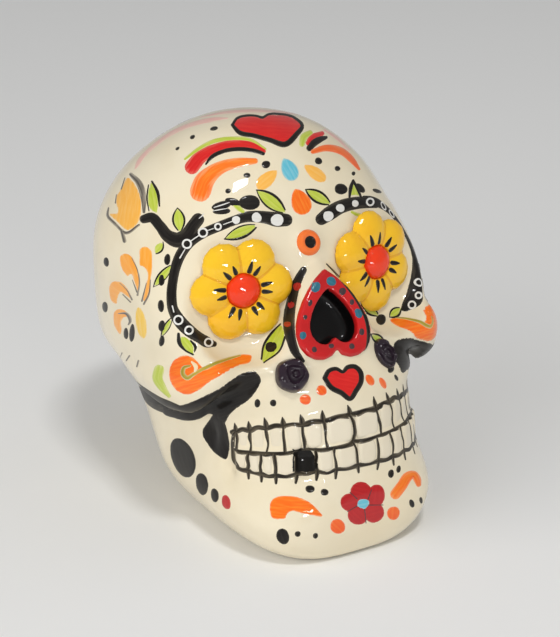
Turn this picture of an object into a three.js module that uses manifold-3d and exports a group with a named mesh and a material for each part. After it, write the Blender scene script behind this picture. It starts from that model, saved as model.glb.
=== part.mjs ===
// Sugar skull: a hollow slip-cast earthenware skull that rests on a flat foot, with clay flowers in
// its eye sockets, a heart rim round the nose, a boss on the forehead, two roses and two rows of
// tooth tiles, each set into a seat cut for it.
// Millimetres, +Z up. The face looks along -Y; the origin is the middle of the outline box, at the foot.
import * as THREE from "three";
import { mergeVertices } from "three/addons/utils/BufferGeometryUtils.js";
import Module from "manifold-3d";

const wasm = await Module();
wasm.setup();

// Overall sizes of the casting
const SKULL_HEIGHT = 113.5;
const SKULL_LENGTH = 112;
const CRANIUM_WIDTH = 89;
const CHEEK_WIDTH = 86;
const JAW_WIDTH = 67;
const FOOT_WIDTH = 48;
const WALL = 5;
const FOOT_THICKNESS = 6;
const POUR_HOLE_DIAMETER = 26;

// Heights of the features above the foot
const CHIN_HEIGHT = 13;
const BITE_HEIGHT = 34;
const LEDGE_HEIGHT = 38.5;
const CHEEK_HEIGHT = 53;
const ROSE_HEIGHT = 54.5;
const CRANIUM_WAIST = 68;
const NOSE_HEIGHT = 67.2;
const EYE_HEIGHT = 75.5;
const BOSS_HEIGHT = 84.5;

// How far each stretch of the face lies behind the foremost point of the chin
const BITE_SETBACK = 5.5;
const NOSE_SETBACK = 14;
const EYE_SETBACK = 27;
const JAW_SETBACK = 50;
const CROWN_SETBACK = 62;
const FOREHEAD_REACH = 32;
const POUR_HOLE_SETBACK = 38;

// How far the back of the jaw lies ahead of the back of the cranium
const JAW_CUTBACK = 32;

// Eye sockets and the flowers in them
const EYE_SPACING = 44;
const SOCKET_DIAMETER = 31;
const SOCKET_DEPTH = 4;
const SOCKET_TURN = 13;
const SOCKET_LIFT = 10;
const PETAL_COUNT = 6;
const PETAL_LENGTH = 12.6;
const PETAL_WIDTH = 12.2;
const PETAL_THICKNESS = 3.4;
const PETAL_REACH = 14.6;
const FLOWER_CENTER_DIAMETER = 9.6;
const FLOWER_CENTER_HEIGHT = 4.6;

// Heart round the nose
const HEART_WIDTH = 23.6;
const HEART_HEIGHT = 26;
const HEART_RIM = 4.4;
const HEART_RIM_HEIGHT = 2.6;
const RIM_BEVEL = 0.9;
const HEART_LEAN = 28;
const HEART_TILT = -6;
const NOSE_DEPTH = 5;
const MOUND_MARGIN = 2.6;

// Radius of the roll that makes a cheekbone, and of the hollow below it
const CHEEKBONE_GIRTH = 10;
const HOLLOW_GIRTH = 3.4;

// Forehead boss and roses
const BOSS_DIAMETER = 7.6;
const BOSS_RISE = 1.9;
const ROSE_DIAMETER = 8.6;
const ROSE_RISE = 2.6;
const ROSE_SPACING = 30.5;

// Teeth, counted outward from the middle of the bite; one lower tooth is missing
const TOOTH_HEIGHT = 7.6;
const TOOTH_THICKNESS = 3;
const TOOTH_BEVEL = 0.7;
const TOOTH_CHANNEL = 2.2;
const MOUTH_PITCH = 9;
const UPPER_WIDTHS = [8.2, 5.3, 4.8, 4.4, 4.6, 4.1, 3.2];
const LOWER_WIDTHS = [6.5, 5, 4.8, 5.6, 3.6, 3.6, 4.8];
const MISSING_LOWER_TOOTH = 2;

// Clearance round a piece of applied clay, and how deep a shallow seat is
const SEAT_GAP = 0.35;
const SEAT_DEPTH = 0.9;

// Facets round the casting and up its height
const FACETS_ROUND = 46;
const FACETS_HIGH = 28;

// Slivers thinner than this are wiped off the finished casting, as a wet sponge does
const SPONGED = 0.03;

const CHIN_Y = -SKULL_LENGTH / 2;
const BACK_Y = SKULL_LENGTH / 2;
const CROWN_Y = CHIN_Y + CROWN_SETBACK;
const JAW_Y = CHIN_Y + JAW_SETBACK;
const UP = new THREE.Vector3(0, 0, 1);
const radians = THREE.MathUtils.degToRad;

// A three.js geometry becomes a closed solid for cutting, and comes back as a geometry
function solidOf(geometry, matrix = new THREE.Matrix4()) {
  const bare = geometry.index ? geometry.toNonIndexed() : geometry.clone();
  bare.deleteAttribute("normal");
  bare.deleteAttribute("uv");
  bare.applyMatrix4(matrix);
  const merged = mergeVertices(bare, 1e-4);
  return new wasm.Manifold(new wasm.Mesh({
    numProp: 3,
    vertProperties: new Float32Array(merged.attributes.position.array),
    triVerts: new Uint32Array(merged.index.array),
  }));
}

function geometryOf(solid) {
  const mesh = solid.getMesh();
  const geometry = new THREE.BufferGeometry();
  geometry.setAttribute("position", new THREE.BufferAttribute(mesh.vertProperties, 3));
  geometry.setIndex(Array.from(mesh.triVerts));
  const faceted = geometry.toNonIndexed();
  faceted.computeVertexNormals();
  return faceted;
}

// A closed skin over a stack of rings, with a fan over each end
function skinOver(rings) {
  const round = rings[0].length;
  const places = rings.flat();
  const index = [];
  for (let level = 0; level < rings.length - 1; level += 1) {
    for (let i = 0; i < round; i += 1) {
      const a = level * round + i;
      const b = level * round + ((i + 1) % round);
      index.push(a, b, b + round, a, b + round, a + round);
    }
  }
  for (const level of [0, rings.length - 1]) {
    const middle = new THREE.Vector3();
    rings[level].forEach((place) => middle.addScaledVector(place, 1 / round));
    places.push(middle);
    for (let i = 0; i < round; i += 1) {
      const a = level * round + i;
      const b = level * round + ((i + 1) % round);
      index.push(places.length - 1, level ? a : b, level ? b : a);
    }
  }
  const geometry = new THREE.BufferGeometry().setFromPoints(places);
  geometry.setIndex(index);
  return geometry;
}

// Stations of the casting, as a boat builder lofts a hull. Each row holds a height, the half width,
// the front, widest and back places along Y, and the squareness of the front and of the back.
const mix = THREE.MathUtils.lerp;
const faceAt = (setback) => CHIN_Y + setback;
const waistAt = (share) => mix(JAW_Y, CROWN_Y, share);
const napeAt = (share) => BACK_Y - JAW_CUTBACK * share;
const chinTop = mix(CHIN_HEIGHT, BITE_HEIGHT, 0.5);
const cheekFoot = mix(LEDGE_HEIGHT, CHEEK_HEIGHT, 0.38);
const underChin = faceAt(BITE_SETBACK * 0.1);
const lipFront = faceAt(BITE_SETBACK * 1.2);
const cheekFront = faceAt(mix(BITE_SETBACK, NOSE_SETBACK, 0.35));
const cheekTop = faceAt(NOSE_SETBACK * 0.82);
const noseFront = faceAt(mix(NOSE_SETBACK, EYE_SETBACK, 0.54));
const STATIONS = [
  [0, FOOT_WIDTH * 0.5, faceAt(BITE_SETBACK * 0.5), waistAt(-0.3), napeAt(1.22), 3.2, 2.4],
  [CHIN_HEIGHT * 0.35, JAW_WIDTH * 0.43, underChin, waistAt(-0.1), napeAt(1.1), 4, 2.4],
  [CHIN_HEIGHT, JAW_WIDTH * 0.5, CHIN_Y, waistAt(0), napeAt(1), 3.8, 2.4],
  [chinTop, JAW_WIDTH * 0.5, faceAt(BITE_SETBACK * 0.5), waistAt(0.08), napeAt(0.5), 2.8, 2.4],
  [BITE_HEIGHT, JAW_WIDTH * 0.507, faceAt(BITE_SETBACK), waistAt(0.17), napeAt(0.1), 2.3, 2.6],
  [LEDGE_HEIGHT, JAW_WIDTH * 0.54, lipFront, waistAt(0.5), napeAt(0.02), 2.15, 2.7],
  [cheekFoot, CHEEK_WIDTH * 0.475, cheekFront, waistAt(0.75), BACK_Y, 2.15, 2.7],
  [CHEEK_HEIGHT, CHEEK_WIDTH * 0.504, cheekTop, waistAt(0.83), BACK_Y, 2.5, 2.5],
  [CRANIUM_WAIST * 0.94, CHEEK_WIDTH * 0.513, noseFront, waistAt(0.92), BACK_Y, 3.6, 2.4],
  [EYE_HEIGHT, CRANIUM_WIDTH * 0.493, faceAt(EYE_SETBACK), waistAt(1.17), napeAt(0.025), 3.2, 2.3],
];
// Above the eyes the stations follow a dome, and one more past the crown keeps its top round
for (const slope of [24, 40, 58, 74, 90, 106]) {
  const spread = Math.cos(radians(slope));
  STATIONS.push([
    CRANIUM_WAIST + (SKULL_HEIGHT - CRANIUM_WAIST) * Math.sin(radians(slope)),
    (CRANIUM_WIDTH / 2) * spread,
    CROWN_Y - FOREHEAD_REACH * spread,
    waistAt(1 + 0.33 * spread),
    CROWN_Y + (BACK_Y - CROWN_Y) * spread,
    1.82 + 0.66 * spread * spread,
    1.84 + 0.46 * spread * spread,
  ]);
}
const TOP_STATION = STATIONS.length - 2;
const stationLine = new THREE.CubicInterpolant(
  STATIONS.map((row, i) => i),
  STATIONS.flat(),
  STATIONS[0].length,
);

function stationAt(height) {
  let low = 0;
  let high = TOP_STATION;
  for (let step = 0; step < 40; step += 1) {
    const middle = (low + high) / 2;
    if (stationLine.evaluate(middle)[0] < height) low = middle;
    else high = middle;
  }
  return (low + high) / 2;
}

// One place on the skin: a station, a bearing round it in degrees (-90 is the face, 90 the back),
// and how far inside the skin it lies
function skinPlace(station, bearing, inset = 0) {
  const [height, half, front, widest, back, squareFront, squareBack] = stationLine.evaluate(station);
  const across = Math.cos(radians(bearing));
  const along = Math.sin(radians(bearing));
  const power = 2 / (along < 0 ? squareFront : squareBack);
  const depth = along < 0 ? widest - front : back - widest;
  const dome = Math.max(0, (height - CRANIUM_WAIST) / (SKULL_HEIGHT - CRANIUM_WAIST));
  const inward = inset * Math.sqrt(Math.max(0, 1 - dome * dome));
  return new THREE.Vector3(
    Math.sign(across) * Math.abs(across) ** power * Math.max(0, half - inward),
    widest + Math.sign(along) * Math.abs(along) ** power * Math.max(0, depth - inward),
    height - inset * dome,
  );
}

function skinLoft(inset, stations, facets) {
  return skinOver(stations.map((station) => (
    Array.from({ length: facets }, (none, i) => skinPlace(station, (i * 360) / facets, inset))
  )));
}

// Frame of a piece that stands on a surface: Z points out of it and Y points up
function frameOn(place, outward, up = UP) {
  const right = new THREE.Vector3().crossVectors(up, outward).normalize();
  const rise = new THREE.Vector3().crossVectors(outward, right);
  return new THREE.Matrix4().makeBasis(right, rise, outward).setPosition(place);
}

function frameOnSkin(height, bearing) {
  const station = stationAt(height);
  const round = skinPlace(station, bearing + 2).sub(skinPlace(station, bearing - 2));
  const rise = skinPlace(station + 0.1, bearing).sub(skinPlace(station - 0.1, bearing));
  return frameOn(skinPlace(station, bearing), round.cross(rise).normalize());
}

function frameFacing(place, turn, lift) {
  const outward = new THREE.Vector3(0, -1, 0);
  outward.applyEuler(new THREE.Euler(-radians(lift), 0, radians(turn), "ZXY"));
  return frameOn(place, outward);
}

function raised(frame, z) {
  return frame.clone().multiply(new THREE.Matrix4().makeTranslation(0, 0, z));
}

function spun(frame, degrees) {
  return frame.clone().multiply(new THREE.Matrix4().makeRotationZ(radians(degrees)));
}

// Bearing on the left half of the skin where a test of the place first comes true
function bearingWhere(height, test) {
  const station = stationAt(height);
  let low = -90;
  let high = 90;
  for (let step = 0; step < 40; step += 1) {
    const middle = (low + high) / 2;
    if (test(skinPlace(station, middle))) high = middle;
    else low = middle;
  }
  return high;
}

function mirrored(bearing, side) {
  return side < 0 ? 180 - bearing : bearing;
}

// Turned shapes stand on Z, from pairs of radius and height
function turned(pairs, segments) {
  const profile = pairs.map(([radius, height]) => new THREE.Vector2(radius, height));
  return new THREE.LatheGeometry(profile, segments).rotateX(Math.PI / 2);
}

function disc(diameter, depth) {
  return turned([[0, 0], [diameter / 2, 0], [diameter / 2, depth], [0, depth]], 24);
}

// Casting, and the hollow that is poured out of it
const levels = Array.from({ length: FACETS_HIGH }, (none, i) => (TOP_STATION * i) / FACETS_HIGH);
levels.push(TOP_STATION - 0.2, TOP_STATION - 0.06);
const floorStation = stationAt(FOOT_THICKNESS);
const hollowLevels = [floorStation, ...levels.filter((level, i) => level > floorStation + 0.3 && i % 2)];
let casting = solidOf(skinLoft(0, levels, FACETS_ROUND));
let hollow = solidOf(skinLoft(WALL, hollowLevels, FACETS_ROUND / 2));
const pieces = [];
const nameOf = (side) => (side < 0 ? "right" : "left");

// A round bar swept along the skin. Each row holds a height, a setback behind the chin, a share of the
// girth and the share of the bar's radius that lies under the skin.
const SWEEP_FACETS = 10;
function swept(rows, side, girth, grow = 0) {
  const line = new THREE.CatmullRomCurve3(rows.map(([height, setback]) => {
    const bearing = bearingWhere(height, (place) => place.y > faceAt(setback));
    return skinPlace(stationAt(height), mirrored(bearing, side));
  }));
  const shares = rows.map(([,, share, sink = 0]) => new THREE.Vector3(share, share * sink, 0));
  const shareLine = new THREE.CatmullRomCurve3(shares);
  const steps = rows.length * 2;
  return skinOver(Array.from({ length: steps + 1 }, (none, i) => {
    const place = line.getPoint(i / steps);
    const share = shareLine.getPoint(i / steps);
    const outward = new THREE.Vector3(place.x, (place.y - JAW_Y) * 0.6, 0).normalize();
    const rise = new THREE.Vector3().crossVectors(line.getTangent(i / steps), outward).normalize();
    const radius = girth * share.x + grow;
    const middle = place.addScaledVector(outward, -girth * share.y);
    return Array.from({ length: SWEEP_FACETS }, (nothing, k) => {
      const turn = radians((k * 360) / SWEEP_FACETS);
      return middle.clone()
        .addScaledVector(outward, radius * Math.cos(turn))
        .addScaledVector(rise, radius * Math.sin(turn));
    });
  }));
}

// Cheekbones: a roll of clay from below each eye back to the temple
const CHEEKBONE = [
  [CHEEK_HEIGHT * 1.22, EYE_SETBACK * 0.9, 0.5, 0.6],
  [CHEEK_HEIGHT * 1.11, EYE_SETBACK * 0.92, 0.8, 0.55],
  [CHEEK_HEIGHT * 0.99, EYE_SETBACK * 1.04, 0.95, 0.42],
  [CHEEK_HEIGHT * 0.91, JAW_SETBACK * 0.7, 1, 0.42],
  [CHEEK_HEIGHT * 0.87, JAW_SETBACK * 0.95, 0.95, 0.65],
  [CHEEK_HEIGHT * 0.86, JAW_SETBACK * 1.25, 0.85, 0.88],
  [CHEEK_HEIGHT * 0.88, JAW_SETBACK * 1.6, 0.6, 1.1],
];
for (const side of [-1, 1]) casting = casting.add(solidOf(swept(CHEEKBONE, side, CHEEKBONE_GIRTH)));

// Eyes: a bowl with a flat floor, and a flower of domed petals round a dome
const socketRadius = SOCKET_DIAMETER / 2;
function bowl(grow, segments) {
  return turned([
    [0, -grow],
    [socketRadius + grow * 0.6, -grow],
    [socketRadius * 1.13 + grow, SOCKET_DEPTH * 0.55 - grow * 0.5],
    [socketRadius * 1.26 + grow, SOCKET_DEPTH * 1.5],
    [socketRadius * 1.45 + grow, SOCKET_DIAMETER * 0.7],
    [0, SOCKET_DIAMETER * 0.7],
  ], segments);
}
const eyeFloors = [];
const petalHalfAngle = Math.PI / PETAL_COUNT;
const wedgeReach = PETAL_REACH * 2;
const petalWedge = new THREE.Shape([
  new THREE.Vector2(0, 0),
  new THREE.Vector2(wedgeReach, -wedgeReach * Math.tan(petalHalfAngle)),
  new THREE.Vector2(wedgeReach, wedgeReach * Math.tan(petalHalfAngle)),
]);
const wedge = new THREE.ExtrudeGeometry(petalWedge, { depth: PETAL_REACH, bevelEnabled: false });
wedge.translate(SEAT_GAP / 2 / Math.sin(petalHalfAngle), 0, 0);
const pad = new THREE.SphereGeometry(1, 14, 10).rotateX(Math.PI / 2);
pad.scale(PETAL_LENGTH / 2, PETAL_WIDTH / 2, PETAL_THICKNESS);
pad.translate(PETAL_REACH - PETAL_LENGTH / 2, 0, 0);
const eyelet = disc(FLOWER_CENTER_DIAMETER + 2 * SEAT_GAP, PETAL_REACH);
const petal = geometryOf(solidOf(pad).intersect(solidOf(wedge)).subtract(solidOf(eyelet)));
const domeRadius = FLOWER_CENTER_DIAMETER / 2;
const dome = turned([
  [0, 0],
  [domeRadius, 0],
  [domeRadius, FLOWER_CENTER_HEIGHT * 0.35],
  [domeRadius * 0.85, FLOWER_CENTER_HEIGHT * 0.72],
  [domeRadius * 0.5, FLOWER_CENTER_HEIGHT * 0.94],
  [0, FLOWER_CENTER_HEIGHT],
], 20);
for (const side of [-1, 1]) {
  const bearing = bearingWhere(EYE_HEIGHT, (place) => place.x > EYE_SPACING / 2);
  const eyePlace = skinPlace(stationAt(EYE_HEIGHT), mirrored(bearing, side));
  const floor = raised(frameFacing(eyePlace, side * SOCKET_TURN, SOCKET_LIFT), -SOCKET_DEPTH);
  eyeFloors.push(floor);
  casting = casting.subtract(solidOf(bowl(0, 36), floor));
  hollow = hollow.subtract(solidOf(bowl(WALL, 20), floor));
  const flower = raised(floor, SEAT_GAP);
  for (let i = 0; i < PETAL_COUNT; i += 1) {
    const turn = (i * 360) / PETAL_COUNT + (side < 0 ? 3 : 30);
    pieces.push([`${nameOf(side)}_eye_petal_${i + 1}`, solidOf(petal, spun(flower, turn)), 0xf0b414]);
  }
  pieces.push([`${nameOf(side)}_eye_flower_center`, solidOf(dome, flower), 0xdb4a1c]);
}

// Nose: a low heart-shaped mound that stays clear of the flowers, an inverted heart rim in a shallow
// seat on it, and a hollow inside the rim
function heartShape(grow) {
  const wide = HEART_WIDTH / 2 + grow;
  const top = HEART_HEIGHT / 2 + grow * 1.3;
  const low = -HEART_HEIGHT / 2 - grow;
  const shape = new THREE.Shape();
  shape.moveTo(0, top);
  shape.bezierCurveTo(wide * 0.5, top * 0.72, wide, low * 0.02, wide, low * 0.42);
  shape.bezierCurveTo(wide, low * 0.95, wide * 0.3, low * 1.16, 0, low * 0.74);
  shape.bezierCurveTo(-wide * 0.3, low * 1.16, -wide, low * 0.95, -wide, low * 0.42);
  shape.bezierCurveTo(-wide, low * 0.02, -wide * 0.5, top * 0.72, 0, top);
  return shape;
}
function heartBlock(grow, depth, bevel = 0) {
  return new THREE.ExtrudeGeometry(heartShape(grow - bevel), {
    depth: depth - 2 * bevel,
    curveSegments: 6,
    bevelEnabled: bevel > 0,
    bevelThickness: bevel,
    bevelSize: bevel,
    bevelSegments: 2,
  }).translate(0, 0, bevel);
}
const nosePlace = new THREE.Vector3(0, faceAt(NOSE_SETBACK * 1.4), NOSE_HEIGHT);
const noseFrame = spun(frameFacing(nosePlace, 0, HEART_LEAN), HEART_TILT);
const moundBlock = heartBlock(MOUND_MARGIN, HEART_WIDTH, MOUND_MARGIN * 0.8);
let mound = solidOf(moundBlock, raised(noseFrame, -HEART_WIDTH));
const flowerRoom = disc(2 * PETAL_REACH + 4 * SEAT_GAP, 2 * PETAL_REACH);
for (const floor of eyeFloors) mound = mound.subtract(solidOf(flowerRoom, floor));
casting = casting.add(mound);
const rimSeat = raised(noseFrame, -SEAT_DEPTH);
const rimClearance = heartBlock(SEAT_GAP, HEART_WIDTH, RIM_BEVEL);
const noseCavity = heartBlock(SEAT_GAP * 1.7 - HEART_RIM, HEART_WIDTH);
const noseWall = heartBlock(WALL, 2 * HEART_WIDTH);
casting = casting.subtract(solidOf(rimClearance, rimSeat));
casting = casting.subtract(solidOf(noseCavity, raised(noseFrame, -NOSE_DEPTH)));
hollow = hollow.subtract(solidOf(noseWall, raised(noseFrame, -NOSE_DEPTH - WALL)));
const rimHole = solidOf(heartBlock(-HEART_RIM, HEART_WIDTH).translate(0, 0, -HEART_WIDTH / 2));
const rim = geometryOf(solidOf(heartBlock(0, HEART_RIM_HEIGHT, RIM_BEVEL)).subtract(rimHole));
pieces.push(["nose_heart_rim", solidOf(rim, raised(rimSeat, SEAT_GAP)), 0xb5231f]);

// Cheeks and jaw: a long hollow swept under each cheekbone and a notch behind the teeth
const CHEEK_HOLLOW = [
  [CHEEK_HEIGHT * 1.075, EYE_SETBACK * 0.57, 0.25],
  [CHEEK_HEIGHT * 0.98, EYE_SETBACK * 0.66, 0.65],
  [CHEEK_HEIGHT * 0.87, EYE_SETBACK * 0.9, 0.85],
  [LEDGE_HEIGHT * 1.04, JAW_SETBACK * 0.73, 1],
  [LEDGE_HEIGHT * 0.97, JAW_SETBACK, 0.9],
  [LEDGE_HEIGHT * 0.96, JAW_SETBACK * 1.3, 0.6],
  [LEDGE_HEIGHT, JAW_SETBACK * 1.6, 0.25],
];
const JAW_NOTCH = [
  [BITE_HEIGHT * 1.14, EYE_SETBACK * 1.07, 0.22],
  [BITE_HEIGHT * 0.97, EYE_SETBACK * 1.15, 0.65],
  [BITE_HEIGHT * 0.76, EYE_SETBACK * 1.07, 0.22],
];
for (const side of [-1, 1]) {
  for (const rows of [CHEEK_HOLLOW, JAW_NOTCH]) {
    casting = casting.subtract(solidOf(swept(rows, side, HOLLOW_GIRTH)));
    hollow = hollow.subtract(solidOf(swept(rows, side, HOLLOW_GIRTH, WALL)));
  }
}

// Mouth: a pitched channel round the front of the jaws, with a tile for each tooth
const mouthUp = new THREE.Vector3(0, Math.sin(radians(MOUTH_PITCH)), Math.cos(radians(MOUTH_PITCH)));
const mouthFront = CHIN_Y + BITE_SETBACK;
function mouthHeight(offset, bearing) {
  let height = BITE_HEIGHT + offset;
  for (let step = 0; step < 4; step += 1) {
    const place = skinPlace(stationAt(height), bearing, TOOTH_CHANNEL);
    height = BITE_HEIGHT + offset - Math.tan(radians(MOUTH_PITCH)) * (place.y - mouthFront);
  }
  return height;
}
function bearingAlong(offset, travel) {
  let last = skinPlace(stationAt(mouthHeight(offset, -90)), -90, TOOTH_CHANNEL);
  let gone = 0;
  for (let bearing = -89.5; bearing < 0; bearing += 0.5) {
    const next = skinPlace(stationAt(mouthHeight(offset, bearing)), bearing, TOOTH_CHANNEL);
    gone += next.distanceTo(last);
    if (gone >= travel) return bearing;
    last = next;
  }
  return 0;
}
function gumFrame(offset, bearing) {
  const station = stationAt(mouthHeight(offset, bearing));
  const gumPlace = (turn) => skinPlace(station, bearing + turn, TOOTH_CHANNEL);
  const outward = gumPlace(2).sub(gumPlace(-2)).cross(mouthUp).normalize();
  return frameOn(gumPlace(0), outward, mouthUp);
}
const rowOffset = (TOOTH_HEIGHT + SEAT_GAP) / 2;
const lengthOf = (widths) => widths.reduce((sum, width) => sum + width);
const rowLength = Math.max(lengthOf(UPPER_WIDTHS), lengthOf(LOWER_WIDTHS));
const mouthEnd = bearingAlong(0, rowLength + 3 * SEAT_GAP);
const mouthBack = skinPlace(stationAt(mouthHeight(0, mouthEnd)), mouthEnd, TOOTH_CHANNEL).y;
const biteMiddle = new THREE.Vector3(0, mouthFront, BITE_HEIGHT);
const mouthFrame = frameOn(biteMiddle, mouthUp, new THREE.Vector3(0, 1, 0));
function mouthBand(margin, inset) {
  const reach = mouthBack - mouthFront + margin;
  const height = 2 * TOOTH_HEIGHT + 3 * SEAT_GAP + 2 * margin;
  const band = new THREE.BoxGeometry(2 * JAW_WIDTH, JAW_WIDTH + reach, height);
  const skin = solidOf(skinLoft(inset, levels, FACETS_ROUND));
  return solidOf(band.translate(0, (reach - JAW_WIDTH) / 2, 0), mouthFrame).subtract(skin);
}
casting = casting.subtract(mouthBand(0, TOOTH_CHANNEL));
hollow = hollow.subtract(mouthBand(WALL / 2, TOOTH_CHANNEL + WALL));

function toothTile(width) {
  const w = width / 2 - TOOTH_BEVEL;
  const h = TOOTH_HEIGHT / 2 - TOOTH_BEVEL;
  const corner = Math.min(2 * TOOTH_BEVEL, w * 0.6);
  const outline = new THREE.Shape();
  outline.moveTo(-w + corner, -h);
  outline.lineTo(w - corner, -h);
  outline.quadraticCurveTo(w, -h, w, -h + corner);
  outline.lineTo(w, h - corner);
  outline.quadraticCurveTo(w, h, w - corner, h);
  outline.lineTo(-w + corner, h);
  outline.quadraticCurveTo(-w, h, -w, h - corner);
  outline.lineTo(-w, -h + corner);
  outline.quadraticCurveTo(-w, -h, -w + corner, -h);
  return new THREE.ExtrudeGeometry(outline, {
    depth: TOOTH_THICKNESS - 2 * TOOTH_BEVEL,
    curveSegments: 2,
    bevelThickness: TOOTH_BEVEL,
    bevelSize: TOOTH_BEVEL,
    bevelSegments: 1,
  }).translate(0, 0, TOOTH_BEVEL);
}
function setTeeth(rowName, offset, widths, missing) {
  for (const side of [-1, 1]) {
    let travel = 0;
    widths.forEach((width, i) => {
      const bearing = bearingAlong(offset, travel + width / 2);
      travel += width;
      if (side < 0 && i === missing) return;
      const gum = gumFrame(offset, mirrored(bearing, side));
      const pocket = new THREE.BoxGeometry(width + SEAT_GAP, TOOTH_HEIGHT + 2 * SEAT_GAP, TOOTH_HEIGHT);
      casting = casting.subtract(solidOf(pocket, raised(gum, TOOTH_HEIGHT / 2)));
      const tile = solidOf(toothTile(width - SEAT_GAP), raised(gum, SEAT_GAP));
      pieces.push([`${rowName}_${nameOf(side)}_tooth_${i + 1}`, tile, 0xefe6cf]);
    });
  }
}
setTeeth("upper", rowOffset, UPPER_WIDTHS, -1);
setTeeth("lower", -rowOffset, LOWER_WIDTHS, MISSING_LOWER_TOOTH);

// Forehead boss: a ring with a dimple, in a round seat
const bossSeat = raised(frameOnSkin(BOSS_HEIGHT, -90), -SEAT_DEPTH);
const bossRadius = BOSS_DIAMETER / 2;
const bossTop = SEAT_DEPTH + BOSS_RISE;
const boss = turned([
  [0, 0],
  [bossRadius, 0],
  [bossRadius, bossTop * 0.55],
  [bossRadius * 0.8, bossTop * 0.92],
  [bossRadius * 0.6, bossTop],
  [bossRadius * 0.4, bossTop * 0.8],
  [0, bossTop * 0.6],
], 20);
casting = casting.subtract(solidOf(disc(BOSS_DIAMETER + 2 * SEAT_GAP, BOSS_DIAMETER), bossSeat));
pieces.push(["forehead_boss", solidOf(boss, raised(bossSeat, SEAT_GAP)), 0xe8751a]);

// Roses beside the foot of the nose: two rings of petals round a bud, in a round seat
const roseRadius = ROSE_DIAMETER / 2;
const roseTop = SEAT_DEPTH + ROSE_RISE;
const rose = turned([
  [0, 0],
  [roseRadius, 0],
  [roseRadius, roseTop * 0.45],
  [roseRadius * 0.85, roseTop * 0.68],
  [roseRadius * 0.66, roseTop * 0.6],
  [roseRadius * 0.55, roseTop * 0.88],
  [roseRadius * 0.38, roseTop * 0.8],
  [roseRadius * 0.2, roseTop],
  [0, roseTop],
], 16);
for (const side of [-1, 1]) {
  const bearing = bearingWhere(ROSE_HEIGHT, (place) => place.x > ROSE_SPACING / 2);
  const roseSeat = raised(frameOnSkin(ROSE_HEIGHT, mirrored(bearing, side)), -SEAT_DEPTH);
  casting = casting.subtract(solidOf(disc(ROSE_DIAMETER + 2 * SEAT_GAP, ROSE_DIAMETER), roseSeat));
  pieces.push([`${nameOf(side)}_rose`, solidOf(rose, raised(roseSeat, SEAT_GAP)), 0x2a1626]);
}

// The hollow opens to the foot through the pour hole
const pourHole = disc(POUR_HOLE_DIAMETER, 2 * FOOT_THICKNESS);
pourHole.translate(0, faceAt(POUR_HOLE_SETBACK), -FOOT_THICKNESS / 2);
casting = casting.subtract(hollow).subtract(solidOf(pourHole)).simplify(SPONGED);
pieces.unshift(["skull_shell", casting, 0xf1e8d2]);

const sugarSkull = new THREE.Group();
sugarSkull.name = "sugar_skull";
for (const [name, solid, color] of pieces) {
  const clay = new THREE.MeshStandardMaterial({ color, roughness: 0.2 });
  const piece = new THREE.Mesh(geometryOf(solid), clay);
  piece.name = name;
  sugarSkull.add(piece);
}
// The outline box stands centred on the origin
const outline = new THREE.Box3().setFromObject(sugarSkull);
const middle = outline.getCenter(new THREE.Vector3());
for (const piece of sugarSkull.children) {
  piece.geometry.translate(-middle.x, -middle.y, -outline.min.z);
}
export default sugarSkull;
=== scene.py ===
# %% [markdown]
# A painted sugar skull is one hollow clay casting with small clay pieces luted on to it: flowers in the
# eyes, a heart round the nose, two roses, a boss and two rows of teeth. It is painted with underglaze
# colours by hand and dipped in a clear gloss glaze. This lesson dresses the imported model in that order:
# clay first, then paint, then glaze and light. Everything is in metres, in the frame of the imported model.

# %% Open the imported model
import math
import random

import bpy
import numpy as np
from mathutils import Matrix, Vector, geometry
from mathutils.bvhtree import BVHTree


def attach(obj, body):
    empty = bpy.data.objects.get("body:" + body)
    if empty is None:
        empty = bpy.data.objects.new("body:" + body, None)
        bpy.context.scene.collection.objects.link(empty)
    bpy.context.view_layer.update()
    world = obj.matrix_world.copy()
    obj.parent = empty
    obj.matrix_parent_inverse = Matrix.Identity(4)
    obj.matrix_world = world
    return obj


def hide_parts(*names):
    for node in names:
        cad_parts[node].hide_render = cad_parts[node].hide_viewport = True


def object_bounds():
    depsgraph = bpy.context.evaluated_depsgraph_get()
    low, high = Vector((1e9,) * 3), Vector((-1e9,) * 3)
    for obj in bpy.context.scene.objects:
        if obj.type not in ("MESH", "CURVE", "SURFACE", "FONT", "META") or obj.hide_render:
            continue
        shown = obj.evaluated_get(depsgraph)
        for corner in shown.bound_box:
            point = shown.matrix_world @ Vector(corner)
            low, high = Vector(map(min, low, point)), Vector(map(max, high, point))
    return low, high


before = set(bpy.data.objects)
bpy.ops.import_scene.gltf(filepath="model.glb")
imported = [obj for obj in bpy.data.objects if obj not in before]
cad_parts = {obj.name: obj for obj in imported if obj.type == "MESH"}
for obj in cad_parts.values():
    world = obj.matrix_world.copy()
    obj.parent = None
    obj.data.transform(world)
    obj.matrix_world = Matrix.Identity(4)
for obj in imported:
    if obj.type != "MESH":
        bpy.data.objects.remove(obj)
cad_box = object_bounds()
MM = 0.001
skull_width, skull_length, skull_height = (cad_box[1][i] - cad_box[0][i] for i in range(3))
print(f"skull {skull_width / MM:.0f} x {skull_length / MM:.0f} x {skull_height / MM:.0f} mm")

# %% [markdown]
# The camera comes early, because the painter's marks are placed by looking through it. It stands to the
# skull's right and looks down on it, with a long lens, as the photograph does. A place in the picture is
# turned into a direction here, so that a mark can later be carried along that line on to the clay.

# %% Set up the camera and its lines of sight
PHOTO_WIDTH = 560
PHOTO_HEIGHT = 637
FOCAL_PIXELS = 2242
SENSOR = 36.0
VIEW_TURN = math.radians(30)
VIEW_LIFT = math.radians(23)
VIEW_DISTANCE = 0.650

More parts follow.
